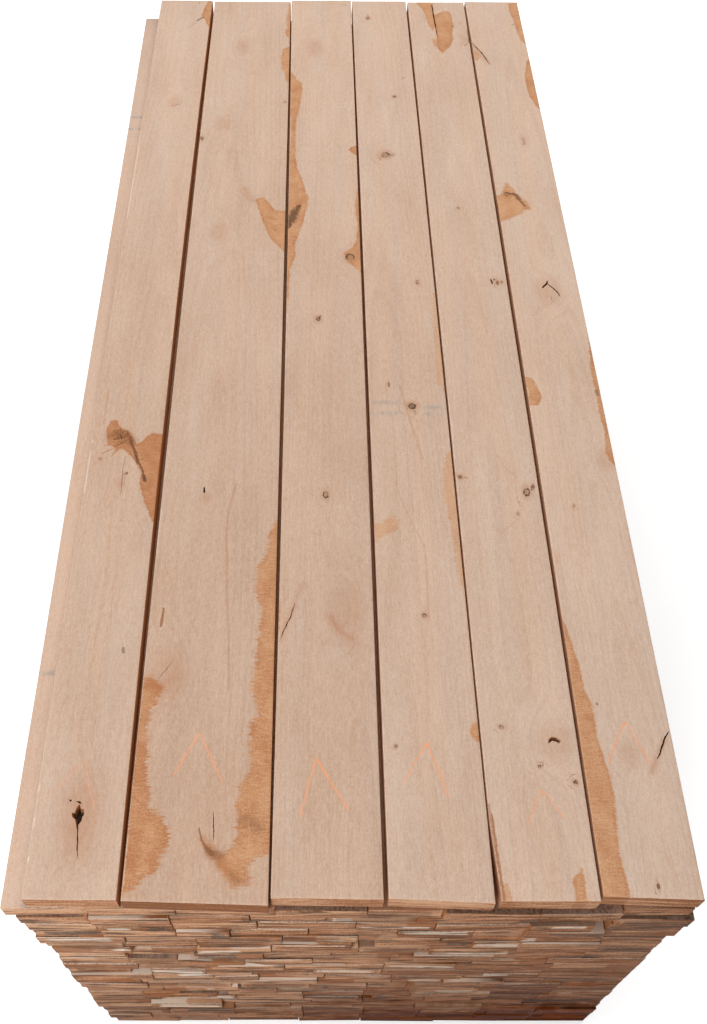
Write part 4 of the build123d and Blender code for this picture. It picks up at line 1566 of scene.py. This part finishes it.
def courses() -> list[BoardCourse]:
    """Return the courses below the top boards, with the weathering and painted light and shade on each
    board's strip, and the bands on its end.
    """
    pale, grey, rust = BandKind.BLEACHED, BandKind.DARKENED, BandKind.RUSTY
    return [
        BoardCourse(2, "pttgtggt", stickers=(740, 690, -843), stray=0.006),
        BoardCourse(3, "gwtttttg", (
            EndBand(2, 0.07, 0.27, 0.5, 0.8, grey), EndBand(2, 0.55, 1.0, 0.0, 0.4, grey),
            EndBand(5, 0.02, 0.3, 0.3, 0.9, pale),
        )),
        BoardCourse(4, "tgttwttt", (
            EndBand(1, 0.15, 1.0, 0.2, 0.42, grey), EndBand(2, 0.1, 0.45, 0.5, 1.0, pale),
            EndBand(2, 0.65, 1.0, 0.35, 1.0, grey), EndBand(5, 0.0, 0.95, 0.45, 0.8, pale),
            EndBand(7, 0.0, 0.3, 0.0, 0.4, grey), EndBand(7, 0.3, 0.9, 0.05, 0.5, pale),
        )),
        BoardCourse(5, "gwwttgtwg", (
            EndBand(1, 0.12, 1.0, 0.3, 0.9, grey), EndBand(2, 0.0, 0.45, 0.3, 0.6, grey),
            EndBand(3, 0.6, 1.0, 0.1, 0.95, grey), EndBand(4, 0.1, 0.36, 0.45, 0.75, pale),
            EndBand(4, 0.36, 0.68, 0.5, 1.0, grey), EndBand(4, 0.68, 1.0, 0.15, 0.7, grey),
            EndBand(5, 0.65, 1.0, 0.15, 0.42, grey), EndBand(6, 0.05, 0.95, 0.0, 0.55, pale),
            EndBand(7, 0.08, 0.78, 0.2, 0.5, grey), EndBand(8, 0.25, 1.0, 0.2, 0.6, grey),
            EndBand(9, 0.0, 0.8, 0.55, 0.8, grey),
        )),
        BoardCourse(6, "gtggttgg", (
            EndBand(1, 0.08, 0.88, 0.08, 0.6, pale), EndBand(3, 0.35, 0.9, 0.4, 0.65, grey),
            EndBand(4, 0.55, 0.9, 0.6, 1.0, pale), EndBand(7, 0.0, 0.22, 0.15, 0.8, pale),
            EndBand(8, 0.05, 0.75, 0.5, 0.8, grey),
        )),
        BoardCourse(7, "wttwtwwt", (
            EndBand(1, 0.4, 0.85, 0.75, 0.95, grey), EndBand(4, 0.1, 0.98, 0.0, 0.4, pale),
            EndBand(5, 0.72, 1.0, 0.15, 0.7, grey), EndBand(6, 0.0, 1.0, 0.1, 0.7, pale),
        )),
        BoardCourse(8, "gtwwtttt", (
            EndBand(1, 0.08, 0.2, 0.2, 0.8, grey), EndBand(1, 0.75, 1.0, 0.15, 0.7, pale),
            EndBand(3, 0.0, 0.6, 0.3, 0.8, pale), EndBand(4, 0.0, 0.9, 0.0, 0.4, pale),
            EndBand(6, 0.0, 0.95, 0.6, 0.95, pale), EndBand(8, 0.1, 1.0, 0.2, 0.6, grey),
        )),
        BoardCourse(9, "ttgtgwtg", (
            EndBand(1, 0.15, 1.0, 0.5, 0.7, pale), EndBand(3, 0.0, 0.65, 0.0, 1.0, grey),
            EndBand(4, 0.02, 0.35, 0.1, 0.4, grey), EndBand(5, 0.2, 0.37, 0.1, 0.6, grey),
            EndBand(6, 0.15, 0.75, 0.0, 0.3, grey),
        )),
        BoardCourse(10, "wgwgttwg", (
            EndBand(1, 0.12, 0.28, 0.25, 0.9, rust), EndBand(4, 0.47, 0.72, 0.25, 1.0, grey),
            EndBand(4, 0.75, 1.0, 0.25, 0.55, pale), EndBand(5, 0.1, 1.0, 0.8, 1.0, grey),
        )),
        BoardCourse(11, "twwtwgt", (
            EndBand(3, 0.17, 0.3, 0.3, 0.8, grey), EndBand(4, 0.0, 0.8, 0.3, 0.65, rust),
            EndBand(5, 0.0, 1.0, 0.3, 0.85, pale), EndBand(6, 0.0, 0.35, 0.0, 0.25, grey),
        )),
        BoardCourse(12, "gwwtwttt", (
            EndBand(1, 0.1, 0.35, 0.1, 0.5, grey), EndBand(2, 0.0, 1.0, 0.25, 0.95, pale),
            EndBand(3, 0.5, 1.0, 0.0, 0.4, grey), EndBand(5, 0.0, 0.9, 0.1, 0.7, pale),
        )),
        BoardCourse(13, "wwttttwt", (
            EndBand(2, 0.4, 1.0, 0.0, 0.55, pale), EndBand(4, 0.62, 0.82, 0.0, 0.5, grey),
            EndBand(4, 0.84, 1.0, 0.4, 1.0, grey), EndBand(4, 0.0, 0.6, 0.3, 1.0, rust),
            EndBand(7, 0.0, 0.65, 0.0, 0.7, pale),
        )),
        BoardCourse(14, "tgwwwwgt", (
            EndBand(1, 0.0, 1.0, 0.0, 1.0, rust), EndBand(2, 0.15, 0.9, 0.2, 0.6, grey),
            EndBand(3, 0.2, 1.0, 0.0, 0.45, pale), EndBand(3, 0.08, 0.18, 0.2, 1.0, grey),
            EndBand(5, 0.3, 1.0, 0.3, 1.0, pale), EndBand(6, 0.5, 0.68, 0.0, 0.6, grey),
        )),
        BoardCourse(15, "gtwtgtwt", (
            EndBand(1, 0.1, 0.45, 0.1, 0.6, grey), EndBand(4, 0.2, 0.35, 0.1, 0.7, grey),
            EndBand(5, 0.0, 0.5, 0.3, 0.7, grey), EndBand(8, 0.0, 0.8, 0.2, 0.8, rust),
        )),
        BoardCourse(16, "twgtwwtg", (
            EndBand(2, 0.5, 0.7, 0.4, 0.8, pale), EndBand(3, 0.0, 1.0, 0.0, 0.4, grey),
            EndBand(6, 0.35, 0.95, 0.3, 0.9, pale),
        )),
        BoardCourse(17, "ggtwtwgw", (
            EndBand(6, 0.0, 0.3, 0.0, 0.5, pale), EndBand(8, 0.1, 0.4, 0.3, 0.7, pale),
        )),
        BoardCourse(18, "wwtgtgtw", (
            EndBand(2, 0.0, 1.0, 0.2, 1.0, pale), EndBand(4, 0.1, 1.0, 0.1, 0.7, grey),
            EndBand(5, 0.0, 0.35, 0.0, 0.8, grey),
        )),
        BoardCourse(19, "twwgttw", (
            EndBand(2, 0.1, 1.0, 0.0, 0.8, pale), EndBand(5, 0.3, 0.45, 0.2, 0.6, grey),
            EndBand(7, 0.0, 0.9, 0.0, 0.9, grey),
        )),
        BoardCourse(20, "ggtttwgg", (
            EndBand(2, 0.2, 1.0, 0.0, 1.0, grey), EndBand(6, 0.0, 1.0, 0.0, 0.75, pale),
            EndBand(7, 0.1, 0.8, 0.1, 0.7, grey), EndBand(8, 0.0, 0.7, 0.05, 1.0, grey),
        )),
        BoardCourse(21, "ggtttwtg", (
            EndBand(2, 0.0, 1.0, 0.0, 0.8, grey), EndBand(6, 0.0, 0.9, 0.2, 0.8, pale),
        )),
        BoardCourse(22, "gttttttt", (EndBand(1, 0.05, 0.95, 0.4, 1.0, grey),)),
        BoardCourse(23, "tttttttt", (EndBand(1, 0.0, 0.6, 0.2, 0.7, grey),)),
        BoardCourse(24, "ttttttt"),
    ]


@dataclass
class Studio:
    """The floor, the lamps and the camera at the photograph's viewing angle.

    Attributes:
        eye: Where the camera stands.
        pitch: How far it looks down, in radians.
        yaw: How far it looks to the right, in radians.
        roll: How far it leans, in radians.
        focal_px: Its focal length in pixels of the photograph.
        axis_px: The column of the photograph that the optical axis meets.
        floor_size: How wide the floor is.
        floor_bounce: The floor's colour for the light that it throws back.
        floor_seen: The floor's colour for the camera.
        glow: How much the floor glows for the camera under the stack.
        glow_reach: From how far out it glows more, and from where it is white.
        lamps: The soft lamps: name, middle, what they face, width and length, and watts.
        sky: How bright the room is without the lamps.
    """

    eye: Place = (-0.0708, -1.6618, 2.4955)
    pitch: float = 0.95093
    yaw: float = 0.00594
    roll: float = -0.00807
    focal_px: float = 1055.5
    axis_px: float = 311.8
    floor_size: float = 16.0
    floor_bounce: Colour = (0.25, 0.24, 0.23, 1.0)
    floor_seen: Colour = (0.98, 0.98, 0.98, 1.0)
    glow: Colour = (0.35, 0.35, 0.35, 1.0)
    glow_reach: Point = (2.2, 4.5)
    lamps: tuple[tuple[str, Place, Place, Point, float], ...] = (
        ("ceiling_lamp", (-0.1, 1.4, 4.6), (0.0, 1.6, 0.0), (3.4, 7.0), 188.0),
        ("front_lamp", (-1.0, -3.2, 1.5), (0.0, -1.24, 0.6), (1.2, 1.0), 43.0),
    )
    sky: float = 0.3

    def build(self) -> None:
        """Set up the room."""
        self.floor()
        for lamp in self.lamps:
            self.hang(*lamp)
        self.room()
        self.camera()
        bpy.context.scene.view_settings.view_transform = "Standard"

    def floor(self) -> None:
        """Lay a floor that the camera sees as pale and that throws little light back."""
        bpy.ops.object.select_all(action="DESELECT")
        bpy.ops.mesh.primitive_plane_add(size=self.floor_size)
        floor = bpy.context.object
        floor.name = "studio_floor"
        paint = bpy.data.materials.new("studio_floor")
        paint.use_nodes = True
        w = Wires(paint.node_tree)
        ray = w.add("ShaderNodeLightPath").outputs
        seen = w.math("MAXIMUM", ray["Is Camera Ray"], ray["Is Glossy Ray"])
        seen = w.math("MAXIMUM", seen, ray["Is Transmission Ray"])
        x, y, _ = w.split(w.add("ShaderNodeTexCoord").outputs["Object"])
        glow = w.mix(w.step(w.length(x, y), *self.glow_reach), self.glow, WHITE)
        looks = {
            "Base Color": w.mix(seen, self.floor_bounce, self.floor_seen),
            "Emission Color": w.mix(seen, BLACK, glow),
            "Emission Strength": 1.0,
            "Roughness": 0.9,
            "Specular IOR Level": 0.0,
        }
        w.link(paint.node_tree.nodes["Principled BSDF"], looks)
        floor.data.materials.append(paint)

    def hang(self, name: str, place: Place, target: Place, size: Point, power: float) -> None:
        """Hang a soft lamp.

        Args:
            name: The lamp's name.
            place: Its middle.
            target: What it faces.
            size: Its width and length.
            power: Its power in watts.
        """
        panel = bpy.data.lights.new(name, "AREA")
        panel.shape = "RECTANGLE"
        panel.size, panel.size_y = size
        panel.energy = power
        lamp = bpy.data.objects.new(name, panel)
        lamp.location = place
        lamp.rotation_euler = (Vector(target) - Vector(place)).to_track_quat("-Z", "Y").to_euler()
        bpy.context.scene.collection.objects.link(lamp)

    def room(self) -> None:
        """Fill the room with an even light, which the camera sees as white."""
        world = bpy.data.worlds.new("studio")
        world.use_nodes = True
        w = Wires(world.node_tree)
        ray = w.add("ShaderNodeLightPath").outputs
        strength = w.step(ray["Is Camera Ray"], 0.0, 1.0, self.sky, 1.0)
        w.link(world.node_tree.nodes["Background"], {"Color": WHITE, "Strength": strength})
        bpy.context.scene.world = world

    def camera(self) -> None:
        """Add the camera and make it the scene's own."""
        lens = bpy.data.cameras.new("photo_camera")
        lens.sensor_width = SENSOR_MM
        lens.lens = self.focal_px * SENSOR_MM / PHOTO_HEIGHT_PX
        lens.shift_x = (PHOTO_WIDTH_PX / 2 - self.axis_px) / PHOTO_HEIGHT_PX
        camera = bpy.data.objects.new("photo_camera", lens)
        turn = Matrix.Rotation(-self.yaw, 4, "Z") @ Matrix.Rotation(math.pi / 2 - self.pitch, 4, "X")
        camera.matrix_world = Matrix.Translation(self.eye) @ turn @ Matrix.Rotation(-self.roll, 4, "Z")
        bpy.context.scene.collection.objects.link(camera)
        bpy.context.scene.camera = camera


def hand_over(piece: bpy.types.Object, node: str, wood: bpy.types.Material) -> None:
    """Give a finished piece its material, its place in the frame and a line in the log.

    Args:
        piece: The finished piece.
        node: The CAD node that it stands for.
        wood: The finish.
    """
    piece.data.materials.clear()
    piece.data.materials.append(wood)
    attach(piece, BODY)
    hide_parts(node)
    LOG.info("%s: %d faces", piece.name, len(piece.data.polygons))


def main() -> None:
    """Build the boards in order, dress them and set up the studio."""
    groups = WoodGroups()
    top_finish = BoardFinish("top_board_wood")
    packed_finish = BoardFinish("packed_board_wood")
    top_wood = top_finish.material(groups)
    packed_wood = packed_finish.material(groups)
    for board in top_boards():
        hand_over(board.model(), board.node, top_wood)
    for course in courses():
        hand_over(course.model(), course.node, packed_wood)
    Studio().build()


if __name__ == "__main__":
    logging.basicConfig(level=logging.INFO)
    main()
